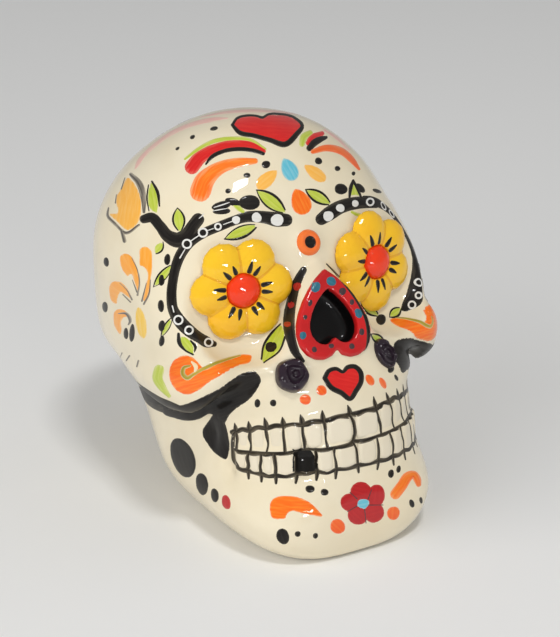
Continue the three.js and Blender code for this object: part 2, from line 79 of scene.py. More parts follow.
aim = Vector((0.0, -0.080 * skull_length, 0.493 * skull_height))
view_back = Vector((
    -math.sin(VIEW_TURN) * math.cos(VIEW_LIFT),
    -math.cos(VIEW_TURN) * math.cos(VIEW_LIFT),
    math.sin(VIEW_LIFT),
))
view_right = Vector((math.cos(VIEW_TURN), -math.sin(VIEW_TURN), 0.0))
view_up = view_back.cross(view_right)
eye = aim + view_back * VIEW_DISTANCE
PIXEL = VIEW_DISTANCE / FOCAL_PIXELS

camera_data = bpy.data.cameras.new("photo camera")
camera_data.sensor_width = SENSOR
camera_data.lens = FOCAL_PIXELS * SENSOR / max(PHOTO_WIDTH, PHOTO_HEIGHT)
camera = bpy.data.objects.new("photo camera", camera_data)
camera.location = eye
camera.rotation_euler = view_back.to_track_quat("Z", "Y").to_euler()
bpy.context.scene.collection.objects.link(camera)
bpy.context.scene.camera = camera


def sight_line(x, y):
    across = view_right * (x - PHOTO_WIDTH / 2)
    upward = view_up * (PHOTO_HEIGHT / 2 - y)
    return (across + upward - view_back * FOCAL_PIXELS).normalized()


print(f"camera lens {camera_data.lens:.1f} mm, one picture point is {PIXEL / MM:.2f} mm at the skull")

# %% [markdown]
# Two effects are shared by all the finishes. Clear glaze pools in soft patches, which tints the colour
# under it and leaves a faint ripple. A brush leaves streaks along the stroke and thin paint at its edge.
# Each effect is a node group, so every colour uses the same recipe with its own values.

# %% Build the shared glaze and brush effects
COLOR, FLOAT, VECTOR = "NodeSocketColor", "NodeSocketFloat", "NodeSocketVector"
PATCHES_PER_METRE = 55
RIPPLES_PER_METRE = 160
PATCH_DETAIL, RIPPLE_DETAIL, STREAK_DETAIL = 4, 2, 3
POOL_EDGES = (0.38, 0.72)
STREAKS_ALONG, STREAKS_ACROSS = 0.16, 1.5
STREAK_EDGES = (0.36, 0.68)
STREAK_MEAN = 0.5
FEATHER_EDGES = (0.35, 1.0)
RAGGED_EDGE = 0.35


def new_group(name, inputs, outputs):
    group = bpy.data.node_groups.new(name, "ShaderNodeTree")
    for way, sockets in (("INPUT", inputs), ("OUTPUT", outputs)):
        for label, kind in sockets.items():
            group.interface.new_socket(label, in_out=way, socket_type=kind)
    return group, group.nodes.new("NodeGroupInput").outputs, group.nodes.new("NodeGroupOutput")


def filled_in(tree, node, inputs):
    for label, value in inputs.items():
        if isinstance(value, bpy.types.NodeSocket):
            tree.links.new(value, node.inputs[label])
        else:
            node.inputs[label].default_value = value
    return node.outputs


def wired(tree, kind, inputs, **settings):
    node = tree.nodes.new("ShaderNode" + kind)
    for setting, value in settings.items():
        setattr(node, setting, value)
    return filled_in(tree, node, inputs)


def mixed(tree, share, first, second):
    return wired(tree, "Mix", {"Factor": share, "A": first, "B": second}, data_type="RGBA")["Result"]


def ranged(tree, value, edges):
    limits = {"Value": value, "From Min": edges[0], "From Max": edges[1]}
    return wired(tree, "MapRange", limits, interpolation_type="SMOOTHSTEP")["Result"]


def worked(tree, operation, first, second):
    return wired(tree, "Math", {0: first, 1: second}, operation=operation)["Value"]


def speckle(tree, place, scale, detail):
    return wired(tree, "TexNoise", {"Vector": place, "Scale": scale, "Detail": detail})["Fac"]


glaze_pools, pools_in, pools_out = new_group(
    "Glaze pools",
    {"Place": VECTOR, "Colour": COLOR, "Pooled colour": COLOR, "Amount": FLOAT},
    {"Colour": COLOR, "Ripple": FLOAT},
)
clouds = speckle(glaze_pools, pools_in["Place"], PATCHES_PER_METRE, PATCH_DETAIL)
patches = ranged(glaze_pools, clouds, POOL_EDGES)
pool_share = worked(glaze_pools, "MULTIPLY", patches, pools_in["Amount"])
pooled = mixed(glaze_pools, pool_share, pools_in["Colour"], pools_in["Pooled colour"])
ripple = speckle(glaze_pools, pools_in["Place"], RIPPLES_PER_METRE, RIPPLE_DETAIL)
filled_in(glaze_pools, pools_out, {"Colour": pooled, "Ripple": ripple})

brush_load, load_in, load_out = new_group(
    "Brush load",
    {"Mark": VECTOR, "Paint": COLOR, "Thin paint": COLOR, "Body": COLOR, "Streaks": FLOAT, "Feather": FLOAT},
    {"Colour": COLOR},
)
mark_parts = wired(brush_load, "SeparateXYZ", {"Vector": load_in["Mark"]})
long_way = worked(brush_load, "MULTIPLY", mark_parts["X"], STREAKS_ALONG)
short_way = worked(brush_load, "MULTIPLY", mark_parts["Y"], STREAKS_ACROSS)
streak_place = wired(brush_load, "CombineXYZ", {"X": long_way, "Y": short_way})["Vector"]
streaks = ranged(brush_load, speckle(brush_load, streak_place, 1.0, STREAK_DETAIL), STREAK_EDGES)
thinness = worked(brush_load, "MULTIPLY", streaks, load_in["Streaks"])
brushed = mixed(brush_load, thinness, load_in["Paint"], load_in["Thin paint"])
edge_sway = worked(brush_load, "SUBTRACT", streaks, STREAK_MEAN)
edge_noise = worked(brush_load, "MULTIPLY", edge_sway, RAGGED_EDGE)
near_edge = worked(brush_load, "ADD", mark_parts["Z"], edge_noise)
feathered = worked(brush_load, "MULTIPLY", ranged(brush_load, near_edge, FEATHER_EDGES), load_in["Feather"])
filled_in(brush_load, load_out, {"Colour": mixed(brush_load, feathered, brushed, load_in["Body"])})
print("shared effects:", glaze_pools.name, "and", brush_load.name)

# %% [markdown]
# Every finish on the skull is the same clear gloss coat over a different colour. The gloss coat is a
# constant, so it is written straight on the shader. The black stain drinks in some of the glaze, so its coat
# is thinner. The colours are the fired ones, read off.

# %% Mix the glazed finishes
IVORY = (0.83, 0.74, 0.55, 1.0)
IVORY_POOLED = (0.74, 0.62, 0.40, 1.0)
GLAZE = {"Roughness": 0.45, "Specular IOR Level": 0.1, "Coat Roughness": 0.035, "Coat IOR": 1.45}
RIPPLE_HEIGHT = 0.02 * MM
RIPPLE_STRENGTH = 0.5
BLACK_COAT = 0.4
PAINT_POOLS = 0.25


def new_finish(name):
    material = bpy.data.materials.new(name)
    material.use_nodes = True
    return material, material.node_tree


def glazed(tree, colour, pooled_colour, amount, coat):
    place = wired(tree, "TexCoord", {})["Object"]
    pool = {"Place": place, "Colour": colour, "Pooled colour": pooled_colour, "Amount": amount}
    pools = wired(tree, "Group", pool, node_tree=glaze_pools)
    bump = {"Strength": RIPPLE_STRENGTH, "Distance": RIPPLE_HEIGHT, "Height": pools["Ripple"]}
    normal = wired(tree, "Bump", bump)["Normal"]
    coat_values = {**GLAZE, "Coat Weight": coat, "Normal": normal, "Coat Normal": normal}
    filled_in(tree, tree.nodes["Principled BSDF"], {"Base Color": pools["Colour"], **coat_values})


def clay_finish(name, colour, pooled_colour, amount, coat=1.0):
    material, tree = new_finish(name)
    glazed(tree, colour, pooled_colour, amount, coat)
    return material


def paint_finish(name, paint, thin_paint, streak_amount, feather, coat):
    material, tree = new_finish(name)
    mark = wired(tree, "Attribute", {}, attribute_name="mark")["Vector"]
    colours = {"Paint": paint, "Thin paint": thin_paint, "Body": IVORY}
    load = {"Mark": mark, **colours, "Streaks": streak_amount, "Feather": feather}
    colour = wired(tree, "Group", load, node_tree=brush_load)["Colour"]
    glazed(tree, colour, thin_paint, PAINT_POOLS, coat)
    return material


ivory_clay = clay_finish("ivory clay under glaze", IVORY, IVORY_POOLED, 0.35)
tooth_clay = clay_finish("tooth clay under glaze", (0.80, 0.72, 0.56, 1), (0.70, 0.60, 0.42, 1), 0.4)
petal_yellow = clay_finish("petal yellow", (0.92, 0.54, 0.018, 1), (0.90, 0.40, 0.010, 1), 0.5)
dome_vermilion = clay_finish("dome vermilion", (0.88, 0.045, 0.006, 1), (0.80, 0.028, 0.005, 1), 0.6)
rim_red = clay_finish("rim red", (0.60, 0.012, 0.013, 1), (0.40, 0.008, 0.010, 1), 0.7)
boss_orange = clay_finish("boss orange", (0.90, 0.20, 0.035, 1), (0.84, 0.11, 0.015, 1), 0.8)
nose_black = clay_finish("nose black", (0.004, 0.004, 0.004, 1), (0.008, 0.007, 0.006, 1), 0.5, BLACK_COAT)
rose_plum = clay_finish("rose plum", (0.022, 0.011, 0.020, 1), (0.006, 0.004, 0.006, 1), 0.8)
print("clay finishes:", [m.name for m in bpy.data.materials if "clay" in m.name])

# %% [markdown]
# The skull itself is a soft, sponged casting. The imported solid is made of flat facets, so a copy of it is
# joined with the clay that is luted on, rebuilt from small even squares (a voxel remesh) and wiped smooth,
# as a wet sponge does to leather-hard clay. Sculpting by hand would also work, but the remesh keeps every
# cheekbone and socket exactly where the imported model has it.

# %% Sponge the casting
BODY = "root"
SKULL_SQUARE = 0.8 * MM
SKULL_WIPES = 55
WIPE = 0.5


def keep(piece, slot_name, *nodes):
    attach(piece, BODY)
    if nodes:
        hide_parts(*nodes)
    return piece


def new_piece(name, places, faces, finish):
    mesh = bpy.data.meshes.new(name)
    mesh.from_pydata(places, [], faces)
    mesh.materials.append(finish)
    mesh.shade_smooth()
    piece = bpy.data.objects.new(name, mesh)
    bpy.context.scene.collection.objects.link(piece)
    return piece


def joined(nodes, swell):
    places = []
    faces = []
    for node in nodes:
        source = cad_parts[node].data
        first = len(places)
        middle = sum((v.co for v in source.vertices), Vector()) / len(source.vertices)
        places.extend(middle + (v.co - middle) * swell for v in source.vertices)
        faces.extend([first + i for i in face.vertices] for face in source.polygons)
    return places, faces


def sponged(name, nodes, square, wipes, finish, swell=1.0):
    piece = new_piece(name, *joined(nodes, swell), finish)
    rebuild = piece.modifiers.new("even squares", "REMESH")
    rebuild.mode = "VOXEL"
    rebuild.voxel_size = square
    wipe = piece.modifiers.new("sponge", "SMOOTH")
    wipe.factor = WIPE
    wipe.iterations = wipes
    seen = piece.evaluated_get(bpy.context.evaluated_depsgraph_get())
    smooth_mesh = bpy.data.meshes.new_from_object(seen)
    piece.modifiers.clear()
    piece.data = smooth_mesh
    smooth_mesh.name = name
    smooth_mesh.shade_smooth()
    return piece


def nodes_with(word):
    return sorted(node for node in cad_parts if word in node)


teeth = nodes_with("_tooth_")
luted_on = ["nose_heart_rim", "forehead_boss"]
skull = sponged("painted_skull", ["skull_shell"] + luted_on + teeth, SKULL_SQUARE, SKULL_WIPES, ivory_clay)
keep(skull, "ivory_glaze", "skull_shell")
print(f"skull skin: {len(skull.data.polygons)} squares")

# %% [markdown]
# The applied pieces are sponged the same way, with finer squares: puffed petals that melt into one flower,
# domes, the heart rim and the boss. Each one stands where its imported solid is. Behind the heart rim the
# hollow is filled with black glaze, so the faces of the casting that lie inside the rim take that finish.

# %% Sponge the applied clay
FINE_SQUARE = 0.28 * MM
PETAL_SQUARE = 0.36 * MM
PETAL_WIPES, DOME_WIPES, RIM_WIPES, BOSS_WIPES = 4, 12, 26, 8
FLOWER_SWELL = 1.07
SKULL_CORE = Vector((0.0, 0.1 * skull_length, 0.5 * skull_height))


def node_points(node):
    return [v.co.copy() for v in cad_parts[node].data.vertices]


def flat_facing(points):
    spread = np.array(points)
    middle = spread.mean(axis=0)
    facing = Vector(np.linalg.svd(spread - middle, full_matrices=False)[2][2])
    if facing.dot(Vector(middle) - SKULL_CORE) < 0:
        facing = -facing
    return Vector(middle), facing


def side_and_up(facing):
    side = Vector((0.0, 0.0, 1.0)).cross(facing).normalized()
    return side, facing.cross(side)


def canvas(*pieces):
    places = []
    faces = []
    for piece in pieces:
        first = len(places)
        places.extend(v.co.copy() for v in piece.data.vertices)
        faces.extend([first + i for i in face.vertices] for face in piece.data.polygons)
    return BVHTree.FromPolygons(places, faces)


flower_pieces = []
for eye_name in ("right", "left"):
    petals = [node for node in nodes_with("_petal_") if node.startswith(eye_name)]
    flower = sponged(eye_name + "_eye_flower", petals, PETAL_SQUARE, PETAL_WIPES, petal_yellow, FLOWER_SWELL)
    flower_pieces.append(keep(flower, "yellow_glaze", *petals))
for center in nodes_with("_flower_center"):
    dome = sponged(center + "_dome", [center], FINE_SQUARE, DOME_WIPES, dome_vermilion, FLOWER_SWELL)
    keep(dome, "vermilion_glaze", center)
rim = sponged("nose_heart_rim_rounded", ["nose_heart_rim"], FINE_SQUARE, RIM_WIPES, rim_red)
keep(rim, "red_glaze", "nose_heart_rim")
boss = sponged("forehead_boss_ring", ["forehead_boss"], FINE_SQUARE, BOSS_WIPES, boss_orange)
keep(boss, "orange_glaze", "forehead_boss")

rim_middle, rim_facing = flat_facing(node_points("nose_heart_rim"))
rim_skin = canvas(rim)
HOLLOW_FLOOR, HOLLOW_TOP = -14 * MM, 1.5 * MM
HOLLOW_REACH = 15 * MM
HOLLOW_OVERLAP = 0.7 * MM
TURNED_BACK = -0.35
skull.data.materials.append(nose_black)
blackened = 0
for face in skull.data.polygons:
    offset = face.center - rim_middle
    depth = offset.dot(rim_facing)
    flat = offset - rim_facing * depth
    within = HOLLOW_FLOOR < depth < HOLLOW_TOP and flat.length < HOLLOW_REACH
    if within and face.normal.dot(rim_facing) > TURNED_BACK:
        wall = rim_skin.ray_cast(rim_middle, flat.normalized())[3]
        if wall is not None and flat.length < wall + HOLLOW_OVERLAP:
            face.material_index = 1
            blackened += 1
print(f"{len(flower_pieces)} flowers, {blackened} squares of the nose hollow blackened")

# %% [markdown]
# The teeth are pillows with soft corners. Toward the ends of the rows they get shorter, so each one is
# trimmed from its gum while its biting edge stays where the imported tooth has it. The last tooth on each side
# is also narrower, because it turns into the cheek.

# %% Set the teeth
MOUTH_LEAN = math.radians(9)
TOOTH_HALF = 3.8 * MM
TOOTH_WIPES = 24
UPPER_END_CUT, LOWER_END_CUT = 1.7 * MM, 0.85 * MM
mouth_up = Vector((0.0, math.sin(MOUTH_LEAN), math.cos(MOUTH_LEAN)))
UPPER_TRIM = {4: 0.95, 5: 0.88, 6: 0.78, 7: 0.66}
LOWER_RIGHT_TRIM = {1: 0.88, 2: 0.85, 4: 0.84, 5: 0.80, 6: 0.75, 7: 0.62}
LOWER_LEFT_TRIM = {1: 0.92, 2: 0.95, 6: 0.90, 7: 0.80}


def trim_of(tooth):
    number = int(tooth.rsplit("_", 1)[1])
    if tooth.startswith("upper"):
        return UPPER_TRIM.get(number, 1.0)
    return (LOWER_RIGHT_TRIM if "_right_" in tooth else LOWER_LEFT_TRIM).get(number, 1.0)


def end_cut_of(tooth):
    if not tooth.endswith("7"):
        return 0.0
    return UPPER_END_CUT if tooth.startswith("upper") else LOWER_END_CUT


tooth_pieces = []
for tooth in teeth:
    pillow = sponged(tooth + "_pillow", [tooth], FINE_SQUARE, TOOTH_WIPES, tooth_clay)
    levels = [v.co.dot(mouth_up) for v in pillow.data.vertices]
    bite = min(levels) if tooth.startswith("upper") else max(levels)
    for vertex, level in zip(pillow.data.vertices, levels):
        vertex.co += mouth_up * ((bite - level) * (1.0 - trim_of(tooth)))
    if end_cut_of(tooth):
        neighbour = tooth[:-1] + "6"
        here, there = (np.mean(node_points(node), axis=0) for node in (tooth, neighbour))
        inward = Vector(there - here).normalized()
        reaches = [v.co.dot(inward) for v in pillow.data.vertices]
        inner, outer = max(reaches), min(reaches)
        for vertex, reach in zip(pillow.data.vertices, reaches):
            vertex.co += inward * (end_cut_of(tooth) * (inner - reach) / (inner - outer))
    tooth_pieces.append(keep(pillow, "tooth_glaze", tooth))
print(f"{len(teeth)} teeth set")

# %% [markdown]
# A clay rose is a bud with two rings of petals pressed round it, three inside and five outside. It could be
# modelled petal by petal, but at nine millimetres across it reads as a low dome with stepped lips. So each
# rose is one round net of points, lifted by a dome and by the lip of the petal that each point lies on.

# %% Press the roses
ROSE_LIP = 1.2 * MM
ROSE_SINK = 1.3 * MM
ROSE_SPREAD = 1.12
ROSE_LEAN = math.radians(34)
OUTER_PETALS = 5
ROSE_RINGS = ((0.30, 1), (0.62, 3), (1.02, OUTER_PETALS))
RING_SHIFT = 7
ROSE_NET = (44, 120)
LIP_NOTCH = 0.16
LIP_CURL = 2.5
LIP_LEVEL = 0.4
ROSE_SWAY, SWAY_START = 0.025, 0.8
DOME_EDGE = 0.97
DOME_POWER = 2.6
EDGE_POWER = 10


def petal_lip(share, angle):
    inner = 0.0
    for edge, count in ROSE_RINGS:
        outer = edge * (1.0 - LIP_NOTCH * abs(math.cos(count * angle / 2 + RING_SHIFT * edge)) ** 3)
        if share <= outer:
            return ((share - inner) / (outer - inner)) ** LIP_CURL
        inner = outer
    return 1.0


def net_faces(rings, turns, first=0):
    faces = []
    for ring_number in range(rings):
        inner = first + ring_number * turns
        outer = inner + turns
        for step in range(turns):
            after = (step + 1) % turns
            faces.append([inner + step, outer + step, outer + after, inner + after])
    return faces


def pressed_rose(node, flatness, squeeze):
    points = node_points(node)
    middle, facing = flat_facing(points)
    side, up = side_and_up(facing)
    levels = [(p - middle).dot(facing) for p in points]
    radius = max(((p - middle) - facing * (p - middle).dot(facing)).length for p in points) * ROSE_SPREAD
    low = min(levels)
    rise = (max(levels) - low) * flatness
    narrow = view_right * math.cos(ROSE_LEAN) + view_up * math.sin(ROSE_LEAN)
    narrow = (narrow - facing * narrow.dot(facing)).normalized()
    rings, turns = ROSE_NET
    places = []
    for ring_number in range(rings + 1):
        share = ring_number / rings
        for step in range(turns):
            angle = 2 * math.pi * step / turns
            wobble = 1 + ROSE_SWAY * share * math.cos(OUTER_PETALS * angle + SWAY_START)
            dome = rise * math.sqrt(max(0.0, 1.0 - (DOME_EDGE * share) ** DOME_POWER))
            lip = ROSE_LIP * (petal_lip(share, angle) - LIP_LEVEL) * (1 - share ** EDGE_POWER)
            level = low + dome + lip - ROSE_SINK * share ** EDGE_POWER
            flat = side * math.cos(angle) + up * math.sin(angle)
            flat -= narrow * (flat.dot(narrow) * squeeze)
            places.append(middle + flat * (radius * share * wobble) + facing * level)
    rose = new_piece(node + "_petals", places, net_faces(rings, turns), rose_plum)
    return keep(rose, "plum_glaze", node)


roses = [pressed_rose("right_rose", 1.0, 0.0), pressed_rose("left_rose", 0.5, 0.32)]
print(f"{len(roses)} roses of {len(roses[0].data.polygons)} squares")

# %% [markdown]
# Underglaze is painted on with soft brushes, so every mark is a thin skin of colour with its own rounded
# edge. The marks could be a texture picture, but then the colours would blur close up. Here each one is
# a thin mesh laid on the clay: a place in the picture is carried along its line of sight until it meets the
# clay, and lifted by the thickness of the paint. All the marks of one paint become one piece. A paint is
# its full and its thin colour, how streaky and how feathered it is, and the levels of its edge and its top
# in millimetres, where a sunk edge lies just under the clay.

# %% Mix the paints
SUNK = -0.015
PAINTS = {
    "pink": ((0.86, 0.46, 0.40), (0.88, 0.62, 0.50), 0.7, 0.6, SUNK, 0.04),
    "yellow": ((0.90, 0.56, 0.05), (0.90, 0.64, 0.22), 0.5, 0.5, SUNK, 0.04),
    "amber": ((0.94, 0.45, 0.06), (0.95, 0.56, 0.16), 0.6, 0.35, SUNK, 0.05),
    # painted shade: a darker yellow laid into the creases between the petals
    "petal_crease_shade": ((0.78, 0.37, 0.010), (0.86, 0.47, 0.02), 0.5, 0.0, SUNK, 0.05),
    "tangerine": ((0.95, 0.36, 0.03), (0.96, 0.48, 0.10), 0.6, 0.3, SUNK, 0.05),
    "lime": ((0.46, 0.56, 0.04), (0.62, 0.66, 0.15), 0.6, 0.35, SUNK, 0.05),
    "blue": ((0.09, 0.48, 0.62), (0.28, 0.60, 0.68), 0.6, 0.35, 0.05, 0.10),
    "orange": ((0.95, 0.14, 0.006), (0.96, 0.29, 0.025), 0.6, 0.25, SUNK, 0.06),
    "orange_red": ((0.90, 0.10, 0.012), (0.92, 0.22, 0.03), 0.5, 0.2, SUNK, 0.08),
    "red": ((0.66, 0.010, 0.010), (0.76, 0.026, 0.018), 0.6, 0.15, SUNK, 0.07),
    "crimson": ((0.44, 0.008, 0.011), (0.54, 0.016, 0.018), 0.6, 0.1, SUNK, 0.07),
    "olive": ((0.30, 0.27, 0.03), (0.62, 0.40, 0.05), 0.6, 0.5, 0.05, 0.08),
    "cream": ((0.84, 0.72, 0.50), (0.86, 0.62, 0.30), 0.5, 0.2, 0.05, 0.09),
    "grey": ((0.07, 0.06, 0.05), (0.30, 0.26, 0.20), 0.8, 0.35, SUNK, 0.08),
    "slate": ((0.02, 0.13, 0.19), (0.05, 0.20, 0.27), 0.6, 0.0, SUNK, 0.09),
    "mud": ((0.045, 0.030, 0.035), (0.10, 0.045, 0.045), 0.5, 0.0, SUNK, 0.10),
    "black": ((0.010, 0.008, 0.007), (0.022, 0.019, 0.016), 0.6, 0.05, SUNK, 0.10),
    "gap_black": ((0.008, 0.007, 0.006), (0.014, 0.012, 0.010), 0.4, 0.0, SUNK, 0.09),
    "brown_black": ((0.011, 0.009, 0.007), (0.085, 0.068, 0.044), 0.9, 0.12, SUNK, 0.09),
    "bead_red": ((0.34, 0.012, 0.014), (0.48, 0.03, 0.03), 0.6, 0.0, 0.085, 0.14),
    "white": ((0.78, 0.77, 0.73), (0.66, 0.64, 0.58), 0.3, 0.0, 0.085, 0.15),
}
paint_materials = {}
for paint, (full, thin, streak_amount, feather, *levels) in PAINTS.items():
    coat = BLACK_COAT if "black" in paint else 1.0
    colours = (*full, 1.0), (*thin, 1.0)
    paint_materials[paint] = paint_finish(paint + " paint", *colours, streak_amount, feather, coat)
print(f"{len(paint_materials)} paints mixed")

# %% [markdown]
# The clay is the canvas. A tree of its faces answers two questions quickly: what does a line of sight meet,
# and which point of the clay is nearest. The painter also works on the far side, so a mark may be laid a
# second time, mirrored, and settle on the clay there. The picture shows part of the far side, so a mirrored
# mark is left out where the camera sees most of it, or lies only on the rest of the clay, out of sight. A
# far mark that the picture shows from too low an angle is drawn where its near twin would be and sent over.

# %% Lay the canvas
LONGEST_EDGE = 4.0 * MM
MOSTLY_SEEN = 0.3
SIGHT_SLACK = 1.5 * MM
EDGE_ROUND = 6
NEAR_REACH, FAR_REACH, REACH_COUNT = 0.88, 1.14, 60
REACHES = [float(share) for share in np.linspace(NEAR_REACH, FAR_REACH, REACH_COUNT) * VIEW_DISTANCE]
skin = canvas(skull)
pots = {}


def hit(surface, x, y, turned=0.0):
    turn = Matrix.Rotation(turned, 3, "Z")
    start = turn @ eye
    ray = turn @ sight_line(x, y)
    spot, facing = surface.ray_cast(start, ray)[:2]
    if spot is None:
        found = [surface.find_nearest(start + ray * reach) for reach in REACHES]
        spot, facing = min(found, key=lambda near: near[3])[:2]
    return spot, facing


def in_sight(spot, facing):
    way = spot - eye
    if way.dot(facing) > 0:
        return False
    reach = skin.ray_cast(eye, way.normalized())[3]
    return reach is None or reach > way.length - SIGHT_SLACK


def lay(paint, spots, marks, faces, surface, mirrored=False, longest=LONGEST_EDGE, least=0.0):
    pot = pots.setdefault(paint, {"places": [], "faces": [], "marks": []})
    edge_level, top_level = (level * MM for level in PAINTS[paint][4:])
    sides = [] if mirrored == "far" else [spots]
    if mirrored:
        sides.append([surface.find_nearest(Vector((-s.x, s.y, s.z)))[:2] for s, facing in spots])
    for side in sides:
        doubled = side is not spots and mirrored != "far"
        showing = [doubled and in_sight(spot, facing) for spot, facing in side]
        if mirrored is True and sum(showing) > MOSTLY_SEEN * len(side):
            continue
        first = len(pot["places"])
        for (spot, facing), mark in zip(side, marks):
            edge = mark[2] ** EDGE_ROUND
            pot["places"].append(spot + facing * (top_level * (1 - edge) + edge_level * edge))
        pot["marks"].extend(marks)
        for face in faces:
            corners = [side[i][0] for i in face]
            edges = [(a - b).length for a, b in zip(corners, corners[1:] + corners[:1])]
            seen = mirrored == "rest" and all(showing[i] for i in face)
            if max(edges) > longest or seen:
                continue
            out = (corners[1] - corners[0]).cross(corners[2] - corners[0]).normalized()
            if min(abs(out.dot(side[i][1])) for i in face) < least:
                continue
            kept = face if out.dot(side[face[0]][1]) > 0 else face[::-1]
            pot["faces"].append([first + i for i in kept])


print("canvas ready, longest edge", LONGEST_EDGE / MM, "mm")

# %% [markdown]
# A brush leaves two kinds of mark. A stroke is a ribbon along a flowing line, with a width at every point
# and round ends. A patch is an outline filled in, for leaves, petals, hearts and dots; its inside is
# split into small triangles so that it follows the clay.

# %% Shape the strokes and patches
ACROSS = (-1.0, -0.94, -0.78, -0.45, 0.0, 0.45, 0.78, 0.94, 1.0)
STEP = 1.5
SHORTEST_GAP = 0.2
TIGHTEST_BEND = 0.85
FINEST_NET, COARSEST_NET = 0.5, 1.6
NET_COUNT = 7
NET_MARGIN = 0.6
LEVEL_RISE = 1e-9
CUT_SLACK = 1e-5
EDGE_WIDTH = 3.0
STAIN_INSET = 2.4
STAIN_DEPTH = 14 * MM
END_ANGLES = np.radians([82, 60, 38, 18])


def flowing(points, closed=False, step=STEP, axes=2):
    knots = np.array(points, dtype=float)
    if closed:
        knots = np.vstack([knots[-1:], knots, knots[:2]])
    else:
        knots = np.vstack([2 * knots[:1] - knots[1:2], knots, 2 * knots[-1:] - knots[-2:-1]])
    gaps = np.linalg.norm(np.diff(knots[:, :axes], axis=0), axis=1)
    slopes = np.diff(knots, axis=0) / gaps[:, None]
    before, after = gaps[:-1, None], gaps[1:, None]
    lean = (slopes[:-1] * after + slopes[1:] * before) / (before + after)
    line = []
    for i in range(1, len(knots) - 2):
        count = max(1, math.ceil(gaps[i] / step))
        for t in np.arange(count) / count:
            line.append(
                (2 * t ** 3 - 3 * t ** 2 + 1) * knots[i] + (t ** 3 - 2 * t ** 2 + t) * gaps[i] * lean[i - 1]
                + (3 * t ** 2 - 2 * t ** 3) * knots[i + 1] + (t ** 3 - t ** 2) * gaps[i] * lean[i]
            )
    if not closed:
        line.append(knots[-2])
    return np.array(line)


def round_ended(line, axes=2):
    flow = np.gradient(line[:, :axes], axis=0)
    flow /= np.linalg.norm(flow, axis=1)[:, None]
    tips = []
    for row, way in ((line[0], -flow[0]), (line[-1], flow[-1])):
        tip = np.repeat(row[None], len(END_ANGLES), axis=0)
        tip[:, :axes] += way * (row[-1] / 2 * np.sin(END_ANGLES))[:, None]
        tip[:, -1] *= np.cos(END_ANGLES)
        tips.append(tip)
    rows = np.vstack([tips[0], line, tips[1][::-1]])
    count = len(END_ANGLES)
    flows = np.vstack([np.repeat(flow[:1], count, axis=0), flow, np.repeat(flow[-1:], count, axis=0)])
    ends = np.concatenate([np.sin(END_ANGLES), np.zeros(len(line)), np.sin(END_ANGLES)[::-1]])
    return rows, flows, ends


def ribbon_faces(count):
    wide = len(ACROSS)
    return [
        [row * wide + i, row * wide + i + 1, (row + 1) * wide + i + 1, (row + 1) * wide + i]
        for row in range(count - 1) for i in range(wide - 1)
    ]


def stroke(paint, rows, surface=skin, turned=0.0, mirrored=False):
    line, flow, ends = round_ended(flowing(rows))
    gaps = np.linalg.norm(np.gradient(line[:, :2], axis=0), axis=1)
    turning = np.gradient(flow, axis=0)
    bends = (flow[:, 0] * turning[:, 1] - flow[:, 1] * turning[:, 0]) / np.maximum(gaps, SHORTEST_GAP)
    spots = []
    marks = []
    travel = 0.0
    for i, (x, y, width) in enumerate(line):
        if i:
            travel += float(np.linalg.norm(line[i][:2] - line[i - 1][:2])) * PIXEL / MM
        for u in ACROSS:
            reach = u * width / 2
            if reach * bends[i] > TIGHTEST_BEND:
                reach = TIGHTEST_BEND / bends[i]
            spots.append(hit(surface, x - flow[i][1] * reach, y + flow[i][0] * reach, turned))
            marks.append((travel, reach * PIXEL / MM, max(abs(u), ends[i])))
    lay(paint, spots, marks, ribbon_faces(len(line)), surface, mirrored)


def measured(points, outline):
    ends = np.roll(outline, -1, axis=0)
    spans = ends - outline
    offsets = points[:, None, :] - outline
    share = np.clip((offsets * spans).sum(axis=2) / (spans ** 2).sum(axis=1), 0.0, 1.0)
    distance = np.linalg.norm(offsets - share[..., None] * spans, axis=2).min(axis=1)
    level = points[:, None, 1]
    crosses = (outline[:, 1] > level) != (ends[:, 1] > level)
    rise = np.where(spans[:, 1] == 0.0, LEVEL_RISE, spans[:, 1])
    reach = outline[:, 0] + (level - outline[:, 1]) * spans[:, 0] / rise
    inside = (crosses & (points[:, None, 0] < reach)).sum(axis=1) % 2 == 1
    return inside, distance


def patch(paint, outline, surface=skin, turned=0.0, mirrored=False, longest=LONGEST_EDGE, least=0.0):
    edge = np.array(outline, dtype=float)
    low, high = edge.min(axis=0), edge.max(axis=0)
    net = min(COARSEST_NET, max(FINEST_NET, float((high - low).min()) / NET_COUNT))
    columns = np.arange(low[0] + net / 2, high[0], net)
    lines = np.arange(low[1] + net / 2, high[1], net)
    grid = np.stack(np.meshgrid(columns, lines), axis=2).reshape(-1, 2)
    inside, distance = measured(grid, edge)
    filling = grid[inside & (distance > NET_MARGIN * net)]
    corners = [Vector(p) for p in np.vstack([edge, filling])]
    cut = geometry.delaunay_2d_cdt(corners, [], [list(range(len(edge)))], 1, CUT_SLACK)
    flat = np.array([tuple(p) for p in cut[0]])
    closeness = np.clip(1.0 - measured(flat, edge)[1] / EDGE_WIDTH, 0.0, 1.0)
    grain = np.linalg.svd(edge - edge.mean(axis=0), full_matrices=False)[2]
    lengths = (flat - edge.mean(axis=0)) @ grain.T * PIXEL / MM
    marks = [(along, across, near) for (along, across), near in zip(lengths, closeness)]
    spots = [hit(surface, x, y, turned) for x, y in flat]
    lay(paint, spots, marks, [list(face) for face in cut[2]], surface, mirrored, longest, least)


